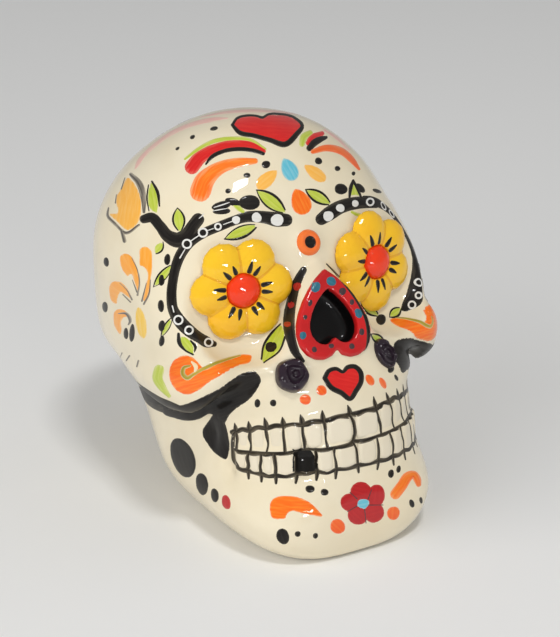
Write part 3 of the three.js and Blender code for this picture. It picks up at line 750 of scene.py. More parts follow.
def stain(outline, finish_number, mirrored=False):
    edge = flowing(outline, closed=True)
    faces = skull.data.polygons
    centers = np.empty(len(faces) * 3)
    faces.foreach_get("center", centers)
    stained = set()
    for mirror in (1, -1) if mirrored else (1,):
        offsets = centers.reshape(-1, 3) * (mirror, 1, 1) - np.array(eye)
        depth = -(offsets @ np.array(view_back)) / FOCAL_PIXELS
        across = PHOTO_WIDTH / 2 + offsets @ np.array(view_right) / depth
        down = PHOTO_HEIGHT / 2 - offsets @ np.array(view_up) / depth
        flat = np.column_stack([across, down])
        near = np.flatnonzero(((flat > edge.min(axis=0)) & (flat < edge.max(axis=0))).all(axis=1))
        inside, distance = measured(flat[near], edge)
        for i in near[inside & (distance > STAIN_INSET)]:
            offset = Vector(offsets[i])
            reach = skin.ray_cast(eye, offset.normalized())[3]
            face = faces[int(i)]
            if reach is None or offset.length - reach > STAIN_DEPTH:
                continue
            if mirror < 0 and in_sight(face.center, face.normal):
                continue
            face.material_index = finish_number
            stained.add(int(i))
    return len(stained)


print("a stroke has", len(ACROSS), "points across")

# %% [markdown]
# A few outlines come back again and again in this kind of ornament: the dot, the leaf, the drop and the
# ring. A hand never repeats a dot exactly, so each dot gets a small, seeded wobble. A dot is its place, its
# width and height and its tilt in degrees; a leaf is its tip, its stem, its width and its two lines' widths.
# A blot is an outline given by a few points and rounded by the brush.

# %% Name the painter's usual shapes
hand = random.Random(21)
DOT_POINTS = 30
DOT_WOBBLE, DOT_DENT = 0.035, 0.02
LEAF_POINTS = 14
LEAF_FULLNESS = 0.85
THIN_END, FULL_MIDDLE = 0.35, 0.65
LINE_START, LINE_END = 0.05, 0.95
DROP_POINTS = 36
DROP_POINT = 0.5
RING_POINTS = 13
RING_WIDTH = 1.9


def oval(x, y, wide, tall, tilt=0.0):
    lean = math.radians(tilt)
    phase = hand.uniform(0, 2 * math.pi)
    outline = []
    for step in range(DOT_POINTS):
        angle = 2 * math.pi * step / DOT_POINTS
        wobble = 1 + DOT_WOBBLE * math.sin(2 * angle + phase) + DOT_DENT * math.sin(3 * angle - phase)
        across = math.cos(angle) * wide / 2 * wobble
        along = math.sin(angle) * tall / 2 * wobble
        outline.append((x + across * math.cos(lean) - along * math.sin(lean),
                        y + across * math.sin(lean) + along * math.cos(lean)))
    return outline


def leaf_sides(tip, stem, width):
    start, end = np.array(tip, dtype=float), np.array(stem, dtype=float)
    way = end - start
    aside = np.array([-way[1], way[0]]) / np.linalg.norm(way)
    shares = np.linspace(0.0, 1.0, LEAF_POINTS)
    bulge = width / 2 * np.sin(np.pi * shares) ** LEAF_FULLNESS
    left = start + way * shares[:, None] + aside * bulge[:, None]
    right = start + way * shares[:, None] - aside * bulge[:, None]
    return left, right


def leaf(tip, stem, width, left_line, right_line, **how):
    left, right = leaf_sides(tip, stem, width)
    patch("lime", np.vstack([left, right[-2:0:-1]]), **how)
    for edge, line in ((left, left_line), (right, right_line)):
        if line:
            shares = np.linspace(LINE_START, LINE_END, LEAF_POINTS)
            widths = line * (THIN_END + FULL_MIDDLE * np.sin(np.pi * shares))
            stroke("black", np.column_stack([edge, widths])[::2], **how)


def drop(tip, bulb, radius):
    start, middle = np.array(tip, dtype=float), np.array(bulb, dtype=float)
    way = middle - start
    length = np.linalg.norm(way) + radius
    way /= np.linalg.norm(way)
    aside = np.array([-way[1], way[0]])
    turn = np.linspace(0.0, 2 * np.pi, DROP_POINTS, endpoint=False)
    along = (1 - np.cos(turn)) / 2 * length
    across = np.sin(turn) * np.abs(np.sin(turn / 2)) ** DROP_POINT
    across *= radius / across.max()
    return start + way * along[:, None] + aside * across[:, None]


def ring(paint, x, y, radius, **how):
    angles = np.linspace(0.0, 2 * math.pi, RING_POINTS)
    stroke(paint, [(x + radius * math.cos(a), y + radius * math.sin(a), RING_WIDTH) for a in angles], **how)


def blot(paint, outline, **how):
    patch(paint, flowing(outline, closed=True), **how)


def strokes(paint, lines, **how):
    for line in lines:
        stroke(paint, line, **how)


def dots(paint, places, **how):
    for place in places:
        patch(paint, oval(*place), **how)


def leaves(places, **how):
    for place in places:
        leaf(*place, **how)


print("painter's shapes: dot, leaf, drop, ring and blot")

# %% [markdown]
# The painting follows the traditional sugar-skull ornament: arched strokes, hearts, drops and dots on the
# forehead. Coordinates are places in the picture, written down stroke by stroke in the order a painter
# works: wide colour first, then darker lines over it. The numbers are x, y and, for a stroke, its width.

# %% Paint the crown and forehead
far_pink = [(325, 130, 3), (338, 139, 4), (349, 150, 3)]
brow_lime = [
    (185, 159, 2.5), (197, 150, 4), (213, 141.5, 4.5), (232, 138.5, 4.5), (250, 140, 4), (265, 149, 3),
]
brow_red = [
    (192, 167, 15), (200, 157.5, 14), (217, 148.5, 11), (236, 144.5, 10), (252, 146, 9), (263, 151, 6),
]
brow_black = [
    (206, 164, 2), (211, 157.5, 4), (224, 151, 4.5), (241, 149, 4.5), (259, 152, 4.5), (263, 153.5, 4),
]
brow_orange = [
    (200.5, 191, 22), (204, 182, 21), (211, 174, 17), (222, 167, 13), (239, 162.5, 10), (255, 161, 6),
]
stroke("pink", far_pink)
stroke("lime", brow_lime)
stroke("red", brow_red)
stroke("black", brow_black)
stroke("orange", brow_orange)

far_lime = [(302, 144, 6), (304, 137, 8), (310, 133, 6)]
far_red = [(308, 143, 5), (312, 138, 7), (322, 133.5, 5)]
far_black = [(309.5, 148, 6.5), (313.5, 143, 8), (319.5, 139.5, 7), (326, 137.5, 3.5)]
far_orange = [(313, 151.5, 5), (326, 148, 7), (341, 151, 7.5), (352, 160, 6.5), (359, 169, 3)]
stroke("lime", far_lime)
stroke("red", far_red)
stroke("black", far_black)
stroke("orange_red", far_orange)

crown_heart = [
    (232, 126), (236, 119.5), (246, 116), (257, 116.5), (262.5, 118), (268, 115), (280, 114.5), (294, 118),
    (303, 127), (296, 136), (286, 145.5), (272, 141), (256, 136.5), (240, 133),
]
crown_heart_line = [
    (232.5, 125, 3.5), (237, 118.5, 3), (247, 115.5, 2.5), (257, 116, 2.5), (262.5, 117.5, 3),
    (268, 114.5, 2.5), (280, 114, 2.5), (294, 117.5, 3), (302, 126, 4.5), (296, 134.5, 6), (285.5, 144, 6.5),
    (270, 140, 5.5), (254, 135.5, 5), (239, 132, 5), (232.5, 125, 3.5),
]
blot("red", crown_heart)
stroke("black", crown_heart_line)

forehead_drops = [
    ("blue", (283.5, 158.5), (291, 173), 8.0), ("amber", (277.5, 170), (262.5, 183.5), 7.5),
    ("amber", (303.5, 164.5), (320.5, 177), 6.5), ("orange", (295, 188.5), (302, 205), 10.2),
]
for paint, *shape in forehead_drops:
    patch(paint, drop(*shape))
forehead_dots = [
    (214, 128.5, 8, 4.5, -15), (192.5, 137, 6, 4, -30), (177.5, 148.5, 5, 3, -35), (266, 164.5, 9, 8, 0),
    (247, 175.3, 7, 5.5, 0), (228, 191, 6, 5, -20), (318.5, 161, 8, 7, 25), (337.5, 168.5, 6, 5.5, 30),
    (353.5, 173.5, 4, 4.5, 0),
]
dots("black", forehead_dots)
print("forehead painted:", {paint: len(pot["faces"]) for paint, pot in pots.items()})

# %% [markdown]
# A black band arches over each eye like a brow and ends in a vine that curls over the temple. White dots
# and rings sit on it like beads on a cord. The rings are strokes that close on themselves, a little thicker
# than the black, so they lie on top of it.

# %% Paint the bands over the eyes
BEAD_SQUASH = 0.94
near_band = [
    (286, 220, 13), (277, 219.5, 15), (266, 217.5, 13), (256, 216.5, 12), (246, 217, 11), (236, 220, 10),
    (218, 227, 10), (203, 233.5, 10), (189, 243, 11), (181, 254, 11), (176, 266, 10.5), (173, 280, 10),
    (171.5, 295, 10.5), (173, 309, 11), (179, 320, 13), (189, 330.5, 13), (200, 338, 11), (208, 342.5, 11),
    (214, 344, 6),
]
near_vine = [
    (144, 219, 9), (151, 217.5, 10.5), (160, 226, 11), (168, 236, 13), (178, 240, 16), (187, 235, 15),
    (193, 226, 13), (198, 219.5, 13),
]
far_band = [
    (321.5, 219, 12.5), (328, 214.5, 14.5), (340, 207.2, 14), (355, 203.2, 13), (366, 202.4, 12),
    (376, 203.5, 9.5),
]
far_band_side = [
    (219, 230, 11), (204, 236, 11.5), (190, 245.5, 11.5), (182.5, 255, 11), (179, 266, 11),
    (177.5, 280, 11.5), (177.5, 295, 12), (179.5, 309, 12.5), (184, 320, 13.5), (190, 330.5, 14),
    (197.5, 339, 13), (206, 346, 11.5), (214, 350, 9), (220, 352, 5),
]
stroke("black", near_band)
stroke("black", near_vine, mirrored=True)
stroke("black", far_band)
stroke("black", far_band_side, mirrored="far")

near_beads = [(277, 220, 13), (256.5, 217.5, 10.5), (236, 220, 8.5)]
far_beads = [(328, 216, 11), (340, 208, 9), (355, 203.5, 7.5)]
for x, y, size in near_beads + far_beads:
    patch("white", oval(x, y, size, size * BEAD_SQUASH))
near_rings = [
    (218, 226.7, 3.0), (203, 232.7, 4.2), (187, 244, 4.2), (178.5, 320, 4.2), (189, 330.3, 3.8),
    (208.5, 342.5, 3.8),
]
seen_rings = [(370, 202, 3.4), (418.5, 295.5, 3.0), (412, 305, 3.5)]
far_rings = [(190, 245.5, 4.2), (182, 257, 4.0), (191.5, 333.5, 3.8)]
for place in near_rings + seen_rings:
    ring("white", *place)
for place in far_rings:
    ring("white", *place, mirrored="far")
cord_dashes = [
    [(232, 221.5, 1.0), (223.5, 224.5, 1.0)], [(213.5, 228.5, 0.9), (208, 230.5, 0.9)],
    [(199, 235.5, 1.2), (191, 241, 1.2)], [(185, 249.5, 1.0), (180, 258, 1.4)],
    [(172.5, 306, 1.4), (174, 312, 1.2)],
]
strokes("white", cord_dashes)
print(len(near_rings + seen_rings + far_rings), "rings and", len(near_beads + far_beads), "beads")

# %% [markdown]
# Leaves and buds grow from the bands. A leaf is a lime patch with two thin black strokes that meet at its
# tip; a bud is a black dot with pale lines painted across it as highlights.

# %% Paint the leaves and buds round the bands
band_leaves = [
    ((256.5, 190), (286, 213), 13, 2.0, 3.0), ((305.5, 189.5), (331, 204.5), 10.5, 2.6, 2.6),
    ((224.5, 239), (258, 225), 11, 3.0, 1.6), ((361, 303), (378.5, 316), 8.5, 2.4, 2.0),
    ((371, 334), (385, 344), 7.5, 2.0, 2.0),
]
leaves(band_leaves)
near_buds = [
    (249.5, 202.5, 21, 16, 0), (221.5, 205.5, 20, 9, -14), (221.5, 211, 18, 7.5, -4), (233, 202, 17, 8, 15),
]
# painted highlights: pale lines laid across the black buds
bud_highlights = [
    [(214, 207.5, 0.8), (222, 205, 1.3), (229.5, 202.5, 0.6)],
    [(213, 211, 0.7), (221, 209.5, 1.1), (227, 208.5, 0.5)],
    [(199, 218.5, 0.6), (202, 216, 1.2), (204, 213.5, 0.6)],
]
far_buds = [(341, 189, 14, 11, 10), (360, 188, 13, 7, 40), (377, 191, 10, 4, 20)]
bud_stem = [(234, 203.5, 5), (239, 208.5, 5.5), (243, 211.5, 4)]
far_sprout = [(349, 196), (353.5, 180), (360, 196)]
far_sprout_lines = [
    [(349.5, 197, 2.4), (350.7, 188, 4), (353.2, 180.5, 2.6)],
    [(353.2, 180.5, 2.6), (357, 188, 3.4), (361, 197, 2.2)],
]
far_glimpse = [(352, 212, 3), (357, 214.5, 4), (362, 215, 2)]
dots("black", near_buds + far_buds)
# the white strokes on the buds are painted highlights
strokes("white", bud_highlights)
stroke("lime", bud_stem)
patch("lime", far_sprout)
strokes("black", far_sprout_lines)
stroke("lime", far_glimpse)
print(f"{len(band_leaves)} leaves and {len(near_buds + far_buds)} buds")

# %% [markdown]
# The temple carries a spray of flowers: a tulip, curled petals, leaves and a run of seed-like dots. Only
# the near temple shows in the picture. The far one is taken to be its mirror image, as such skulls are
# painted in pairs, so every mark here is laid twice.

# %% Paint the temples
tulip = [
    (128, 177), (135, 184), (140, 195), (141.5, 210), (139, 222), (127.5, 230.5), (117, 222), (109, 213.5),
    (116.5, 213), (115.5, 198), (121, 188),
]
tulip_lines = [
    [(131, 174.5, 4), (139, 183, 6.5), (143.5, 198, 6), (144, 212, 3)],
    [(139, 225, 2.4), (126, 233, 3.2), (115, 224, 3)], [(115, 224, 3.4), (107.5, 215, 3), (108.5, 208, 1.6)],
    [(122, 231, 4), (124.5, 241, 4)], [(125, 178, 1.2), (121.5, 189, 1.6)],
    [(116.5, 195, 1.2), (115.5, 203, 1.4)],
]
blot("amber", tulip, mirrored=True)
strokes("grey", tulip_lines, mirrored=True)
temple_leaf = [(151, 182), (157, 193), (158.5, 205), (156.5, 213), (150, 209), (147.5, 200), (148.5, 189)]
temple_leaf_lines = [
    [(152, 181.5, 2), (157.5, 192, 3.4), (159.5, 206, 1.6)],
    [(148.5, 185, 1.2), (147, 198, 1.6), (149, 211, 1)],
]
blot("lime", temple_leaf, mirrored=True)
strokes("black", temple_leaf_lines, mirrored=True)
vine_leaves = [((177.5, 208), (180, 232), 11.5, 2.2, 2.2), ((163, 242), (154.5, 254), 8, 0.0, 2.0)]
leaves(vine_leaves, mirrored=True)

curled_petals = [
    [
        (120, 256), (125, 253), (131, 255.5), (136, 264), (139.5, 278), (138.5, 294), (134.5, 283),
        (130.5, 274.5), (128, 276.5), (123.5, 272), (120, 264),
    ],
    [
        (139.5, 249), (145, 246), (151, 250), (152.5, 262), (151, 280), (148, 296), (144.5, 304), (143, 300),
        (145.5, 286), (146.5, 271), (144, 267.5), (140, 266), (139, 257),
    ],
    [
        (109, 286), (113.5, 281), (121, 282), (127.5, 288.5), (132, 299.5), (126, 296), (120.5, 292.5),
        (118, 298), (116.5, 304.5), (112, 302), (109, 294),
    ],
    [
        (114.5, 311), (119, 308.5), (126, 311), (130, 317), (124, 317.5), (121.5, 322), (122, 330),
        (120.5, 334.5), (115.5, 329), (113, 320),
    ],
]
petal_lines = [
    [(132, 258, 0.7), (137.5, 270, 1.0), (139.5, 284, 1.6), (137.5, 295, 2.2)],
    [(132.5, 280, 0.8), (137, 292, 1.6)], [(150.5, 280, 1.0), (149, 294, 1.8), (144, 304, 2.2)],
    [(146.5, 283, 0.8), (142, 301, 2.0)], [(120, 283, 0.7), (127, 290, 1.0), (132, 299.5, 2.0)],
    [(123, 294.5, 1.2), (130.5, 302, 1.6)],
    [(118.5, 313.5, 1.0), (126, 313.5, 3.0), (130, 322, 3.0), (128.5, 324.5, 1.5)],
]
yellow_petal = (141, 323, 11.5, 33, -8)
for petal in curled_petals:
    blot("tangerine", petal, mirrored=True)
strokes("grey", petal_lines, mirrored=True)
dots("yellow", [yellow_petal], mirrored=True)
temple_seeds = [
    (106.3, 262, 5.5, 10, -10), (105, 307, 6, 11, -8), (167.3, 259.5, 6.5, 12, 8), (161.5, 280, 7, 12, 8),
    (161, 306, 6.5, 13, -5), (161.8, 326, 7, 12, 8), (161.8, 341, 6, 11, 10), (126, 333.5, 5, 12, 0),
    (132, 333, 6, 18, 5),
]
dots("black", temple_seeds, mirrored=True)
side_leaves = [((153.5, 287), (172.5, 264.5), 8, 1.0, 2.0), ((161, 337), (172.5, 317), 5.5, 1.0, 1.8)]
leaves(side_leaves, mirrored=True)
fringe_leaf = [(181, 336), (189, 339), (194, 346), (193.5, 354.5), (186, 351), (181, 345)]
fringe_lines = [
    [(178.5, 334, 3), (179.5, 343, 4.5), (185, 350, 2.4), (193, 354.5, 2)],
    [(191, 341, 2), (195.5, 347, 3.4), (194.5, 352, 1)],
]
blot("lime", fringe_leaf, mirrored=True)
strokes("black", fringe_lines, mirrored=True)
cheek_ticks = [
    [(122, 353, 1.4), (120.5, 357, 1.0)], [(129.5, 356, 2.0), (126.5, 360.5, 1.6)],
    [(138.5, 361, 2.2), (137, 366.5, 1.8)],
]
strokes("grey", cheek_ticks, mirrored=True)
print("temples painted:", {paint: len(pots[paint]["faces"]) for paint in ("amber", "lime", "grey", "black")})

# %% [markdown]
# Under each cheekbone the hollow is filled with black, which makes the cheek look deeper, and an orange
# scroll rides on the bone above it. The scroll is one wide patch with an olive line drawn into it while
# the orange is wet.

# %% Paint the cheeks
CREASE_EDGE = 6.0 * MM
CREASE_FACING = 0.35
near_scroll = [
    (182, 355.5), (173, 361), (169, 370), (170, 381), (177, 391), (187, 395), (198, 391), (210, 382),
    (224, 374), (238, 366), (251, 361), (252, 356), (244, 354), (229, 358.5), (215, 363), (205, 369),
    (200, 364), (193, 357),
]
scroll_line = [
    (190, 366, 2.5), (184, 368, 4.5), (183, 374, 5), (187, 378, 5), (194, 374, 4), (203, 369, 3.6),
    (215, 363.5, 3.6), (228, 359, 3.2), (240, 355.5, 2),
]
scroll_gap = [(192, 362, 2), (196, 367, 4.5), (195, 371.5, 2)]
cheek_lime = [(159, 370, 11), (157.5, 378, 11), (162, 387, 8.5), (169, 396, 4)]
near_hollow = [
    (163, 400.5), (171, 404), (180, 405), (192, 401.5), (205, 395.5), (218, 389), (231, 380), (243, 373),
    (255, 371), (261, 380), (257, 390), (247, 401.5), (236, 409), (229, 416), (224, 424), (217, 419),
    (210, 414), (200, 419), (186, 421), (175, 418.5), (163, 413.5),
]
near_wedge = [
    (202, 432), (208, 421.5), (216, 412), (224, 421), (228.5, 436), (229.5, 449), (226, 459.5), (217, 455),
    (208, 445),
]
blot("orange", near_scroll)
stroke("olive", scroll_line)
stroke("cream", scroll_gap)
far_scroll = [
    (240, 354), (245, 364), (241, 376), (228, 387), (212, 393), (198, 389), (190, 379), (189, 367),
    (195, 359), (205, 356), (214, 358.5), (219, 364), (226, 369), (228, 362), (231, 356.5),
]
far_scroll_line = [
    (234, 355, 1.6), (229.5, 359.5, 3.4), (228, 366, 4.5), (224, 373, 4.5), (218, 376.5, 4.2),
    (213, 373, 3.6), (212, 368, 2),
]
blot("orange", far_scroll, mirrored="far")
stroke("olive", far_scroll_line, mirrored="far")
stroke("lime", cheek_lime, mirrored=True)
in_crease = {"longest": CREASE_EDGE, "least": CREASE_FACING}
blot("black", near_hollow, mirrored="rest", **in_crease)
blot("black", near_wedge, mirrored="rest")
far_hollow = [
    (394, 343), (403, 337.5), (420, 340.5), (438, 348.5), (439.5, 354), (433.5, 362.5), (424, 367),
    (414, 366), (402, 373), (398, 365), (394, 359), (393, 350),
]
blot("black", far_hollow, **in_crease)
stain_finish = len(skull.data.materials)
skull.data.materials.append(paint_materials["black"])
stained_faces = stain(near_hollow, stain_finish, mirrored=True)
stained_faces += stain(far_hollow, stain_finish)
far_end_leaf = ((389.5, 317), (401, 308), 8.5, 2.5, 2.0)
leaf(*far_end_leaf)
print(f"cheeks painted, {stained_faces} squares of clay stained in the hollows")

# %% [markdown]
# A black band follows one side of the nose heart and a thin line the other, where the mound drops away to the
# eye. The lip carries a small heart with a thick outline, and round dots that get smaller toward the cheeks.

# %% Paint round the nose and lip
nose_band = [
    (303.5, 270, 7), (297.5, 281, 9), (292.5, 298, 10), (289.5, 313, 11.5), (289, 327, 12), (291.5, 341, 10),
    (296, 353, 8.5), (303, 361, 4),
]
nose_line = [(326.5, 264, 1.2), (333, 270.5, 1.8), (338.5, 276.5, 2.2)]
heart_shade = [
    (338, 276.5, 2), (350, 290.5, 3.2), (360, 305, 4), (366.5, 319, 4.6), (369, 332, 5), (368.5, 345, 5),
    (366, 352, 3),
]
stroke("black", nose_band)
stroke("black", nose_line)
stroke("black", heart_shade, surface=rim_skin)
band_dots = [(297, 286.5, 8, 9, 15), (291, 305, 7, 8, 10), (287.5, 324.3, 7, 6, 0)]
dots("bead_red", band_dots)
nose_leaf = [(281, 325), (285, 333), (282, 346), (273, 357), (263, 362.5), (262, 350), (270, 335)]
nose_leaf_lines = [
    [(280.5, 324, 1.5), (271, 334, 3), (264, 345, 2.6), (261.5, 359, 2)],
    [(285, 337, 2.4), (280, 350, 2), (264, 362.5, 1.6)],
]
blot("lime", nose_leaf)
strokes("black", nose_leaf_lines)
lip_seeds = [
    (271, 347, 13.5, 13, 0), (381, 319.5, 10, 11.5, 20), (391, 369.5, 6, 8, 50), (396.3, 377.7, 3.5, 7, -25),
    (273.2, 403, 6.5, 7.5, 0), (257.4, 403.3, 6.5, 8.5, 5),
]
lip_beads = [
    (305.3, 399.5, 11.5, 11.5, 0), (321.6, 390.4, 11, 11, 0), (370, 380, 8.5, 12.5, -30),
    (382.8, 383, 6.5, 12.5, -28),
]
rose_leaf = [(387, 364, 2), (389.5, 368, 3)]
dots("black", lip_seeds)
dots("orange_red", lip_beads)
stroke("lime", rose_leaf)
lip_heart = [
    (324, 378), (328, 370.5), (336, 368.5), (343, 371), (347, 366), (355, 366), (361, 372), (362, 379),
    (356, 391), (350.5, 400), (342, 395), (331, 388),
]
lip_heart_line = [
    (325, 378, 5.5), (329, 371, 5), (336, 369, 4.6), (343, 372, 4), (347.5, 367.5, 5), (355, 367, 5.5),
    (360, 372, 6), (361, 380, 6), (355.5, 391, 6), (350, 398.5, 5.5), (342, 393, 6), (331, 387, 6),
    (325, 378, 5.5),
]
blot("red", lip_heart)
stroke("black", lip_heart_line)
print("lip painted with", len(lip_seeds + lip_beads), "dots")

# %% [markdown]
# The jaw carries black seeds that shrink toward the chin, and the chin a red flower between two orange
# commas. The petals are painted one over another, so thin dark lines are left where they meet.

# %% Paint the jaw and chin
jaw_seeds = [(183, 457.7, 24, 40.5, -20), (202, 484, 13, 22.5, -12), (214.8, 495.3, 8.6, 14, -8)]
jaw_bead = (226.2, 502.2, 9.2, 15.6, -10)
chin_seeds = [
    (310, 489, 9.5, 8, 15), (324.6, 492.2, 8.5, 7, 0), (391, 473.7, 6, 9, 10), (398.6, 469.2, 4.8, 7.5, 15),
    (411.8, 503.5, 5.5, 8.5, -15), (421, 500.3, 3.5, 7, -10), (297.7, 534, 6, 6.2, 0),
    (315.5, 535.8, 5.4, 6, 0), (282.8, 536.4, 13, 17, -25),
]
chin_beads = [(337.7, 526.4, 15.5, 15.5, 0), (393.4, 513.2, 13, 14.5, 0)]
dots("black", jaw_seeds, mirrored=True)
dots("crimson", [jaw_bead], mirrored=True)
dots("black", chin_seeds)
dots("orange_red", chin_beads)
near_comma = [
    (270, 503), (273, 498.5), (279, 496), (289, 495.5), (300, 497.5), (311, 503), (318, 509.5), (323, 516.5),
    (312, 515.5), (300, 513), (291, 511.5), (287.5, 514), (286, 518), (279, 519.5), (272.5, 518.5),
    (269.5, 511),
]
far_comma = [
    (395.5, 494, 11), (402, 485.5, 11), (409, 476, 10), (413.5, 474.5, 8), (417.5, 480, 8), (418.5, 484, 6),
]
blot("orange", near_comma)
stroke("orange", far_comma)
chin_petals = [
    (361.5, 492.5, 23, 22, 0), (376, 495.5, 18.5, 23, 15), (374, 512.5, 21.5, 20.5, 0),
    (357.5, 515, 20.5, 20.5, 0), (350, 502, 20, 18.5, 0),
]
petal_seams = [
    [(368, 499, 1.3), (371.5, 489.5, 0.8)], [(368.5, 505, 1.3), (383, 505, 0.8)],
    [(364.5, 509.5, 1.3), (366, 523, 0.8)], [(357, 506, 1.3), (347.5, 511.5, 0.8)],
    [(357, 499, 1.3), (350, 492.5, 0.8)],
]
chin_flower_eye = (362.8, 503.5, 12.5, 11, 0)
dots("crimson", chin_petals)
strokes("mud", petal_seams)
dots("blue", [chin_flower_eye])
print("chin painted with", len(chin_petals), "petals")

# %% [markdown]
# The flowers, the boss and the heart rim are painted on their own clay. Marks on the first two are pressed
# straight on to it from the front of each piece: yellow under the petals, ticks round each dome, a darker
# line of painted shade in each crease between the petals and a black dimple in the boss. The dots on the
# rim are laid by sight, on the rim alone.

# %% Press marks on the applied clay
PRESS_FROM = 6 * MM
PRESS_REACH = 2.5 * PRESS_FROM
DISC_RINGS = 14
FINE_STEP = 0.35 * MM


def pressed(surface, place, facing):
    spot, normal = surface.ray_cast(place + facing * PRESS_FROM, -facing, PRESS_REACH)[:2]
    if spot is None:
        spot, normal = surface.find_nearest(place)[:2]
    return spot, normal


def pressed_line(paint, rows, surface):
    line, flow, ends = round_ended(flowing(rows, step=FINE_STEP, axes=3), axes=3)
    spots = []
    marks = []
    travel = 0.0
    for i, row in enumerate(line):
        place, facing, width = Vector(row[:3]), Vector(row[3:6]).normalized(), row[6]
        if i:
            travel += float(np.linalg.norm(row[:3] - line[i - 1][:3])) / MM
        aside = facing.cross(Vector(flow[i])).normalized()
        for u in ACROSS:
            spots.append(pressed(surface, place + aside * (u * width / 2), facing))
            marks.append((travel, u * width / 2 / MM, max(abs(u), ends[i])))
    lay(paint, spots, marks, ribbon_faces(len(line)), surface)


def pressed_disc(paint, middle, facing, radius, turns, surface):
    side, up = side_and_up(facing)
    spots = [pressed(surface, middle, facing)]
    marks = [(0.0, 0.0, 0.0)]
    for ring_number in range(1, DISC_RINGS + 1):
        share = ring_number / DISC_RINGS
        for step in range(turns):
            angle = 2 * math.pi * step / turns
            x, y = radius * share * math.cos(angle), radius * share * math.sin(angle)
            spots.append(pressed(surface, middle + side * x + up * y, facing))
            marks.append((x / MM, y / MM, max(0.0, share * DISC_RINGS - DISC_RINGS + 1)))
    faces = [[0, 1 + step, 1 + (step + 1) % turns] for step in range(turns)]
    lay(paint, spots, marks, faces + net_faces(DISC_RINGS - 1, turns, first=1), surface)


petal_skin = canvas(*flower_pieces)
TICK_START, TICK_END = 5.7 * MM, 8.7 * MM
TICK_WIDTHS = (1.4, 1.2, 0.5)
TICK_SPREAD = 11.0
TICK_SWAY = 4
TICK_SHORTER = (0.0, 1.0)
WASH_RADIUS, WASH_TURNS = 9.0 * MM, 48
FLOWER_CREASE = ((5.4, 0.9), (8.5, 0.7), (12.0, 0.5))
for eye_name in ("right", "left"):
    petals = [node for node in nodes_with("_petal_") if node.startswith(eye_name)]
    hearts = [np.mean(node_points(node), axis=0) for node in petals]
    middle, facing = flat_facing(hearts)
    pressed_disc("yellow", middle, facing, WASH_RADIUS, WASH_TURNS, skin)
    for heart in hearts:
        way = Vector(heart) - middle
        way = (way - facing * way.dot(facing)).normalized()
        for spread in (-TICK_SPREAD, TICK_SPREAD):
            tilt = math.radians(spread + hand.uniform(-TICK_SWAY, TICK_SWAY))
            lean = Matrix.Rotation(tilt, 3, facing) @ way
            stop = TICK_END - hand.uniform(*TICK_SHORTER) * MM
            reaches = (TICK_START, 0.5 * (TICK_START + stop), stop)
            rows = [(*(middle + lean * reach), *facing, width * MM)
                    for reach, width in zip(reaches, TICK_WIDTHS)]
            pressed_line("black", rows, petal_skin)
        # painted shade: a darker yellow line down the crease between each pair of petals
        crease = Matrix.Rotation(math.pi / len(hearts), 3, facing) @ way
        rows = [(*(middle + crease * reach * MM), *facing, width * MM) for reach, width in FLOWER_CREASE]
        pressed_line("petal_crease_shade", rows, petal_skin)

boss_middle, boss_facing = flat_facing(node_points("forehead_boss"))
boss_top = max((p - boss_middle).dot(boss_facing) for p in node_points("forehead_boss"))
DIMPLE_RADIUS, DIMPLE_TURNS = 1.75 * MM, 40
dimple = canvas(boss, skull)
boss_front = boss_middle + boss_facing * boss_top
pressed_disc("black", boss_front, boss_facing, DIMPLE_RADIUS, DIMPLE_TURNS, dimple)
rim_dots = [
    ("slate", (315.3, 286.8, 10.5, 12, 25)), ("slate", (331.3, 281.3, 10.5, 9.5, 20)),
    ("mud", (342.5, 291.3, 7.5, 8, 0)), ("mud", (352, 302, 5, 6, 0)), ("slate", (358.4, 313.4, 8, 10.5, -20)),
    ("mud", (361.7, 331.8, 5.5, 7.5, 0)), ("mud", (351.9, 346.2, 6, 6, 0)), ("mud", (331.3, 345.8, 6, 5, 0)),
    ("mud", (314.4, 349.5, 5.5, 6, 0)), ("slate", (302.9, 335.5, 7.5, 8, 0)),
    ("mud", (305.3, 317.2, 4.5, 5, 0)), ("mud", (310.2, 303, 4.5, 7, 15)),
]
for paint, dot in rim_dots:
    patch(paint, oval(*dot), surface=rim_skin)
print(f"dimple {2 * DIMPLE_RADIUS / MM:.1f} mm across, {len(rim_dots)} dots on the heart rim")

# %% [markdown]
# The teeth are drawn with a dry brush: a line in every gap, one along each gum, one along the bite, and a
# short root tick above and below each gap. The lines are found from the teeth themselves, so they always
# fall in the gaps. Their widths vary with the seeded hand, because an even line would look printed.

# %% Draw round the teeth
MISSING_TOOTH = 2 * MM
GUM_LEVELS, GUM_WIDTHS = (0.95, 1.0), (1.25, 1.85)
CROWN_LEVELS, CROWN_WIDTHS = (1.02, 1.08), (0.9, 1.45)
LAST_WIDTH = 1.4
GAP_LEVELS, GAP_WIDTHS, GAP_SWAY = (0.03, 0.3, 0.65, 0.97), (0.6, 1.3), (-0.3, 0.3)
ROOT_LENGTHS = {1: (0.3, 0.4), -1: (0.24, 0.32)}
ROOT_WIDTHS = {1: (1.9, 0.4), -1: (1.5, 0.8)}
ROOT_LEAN = (-0.6, 0.2)
HALF_WAY, HALF_WIDTH, HALF_LEAN = 0.5, 0.75, 0.4
BITE_LEVELS, BITE_WIDTHS = (-0.05, 0.0), (0.8, 1.35)
DEEP_EDGE = 9 * MM
tooth_skin = canvas(skull, *tooth_pieces)


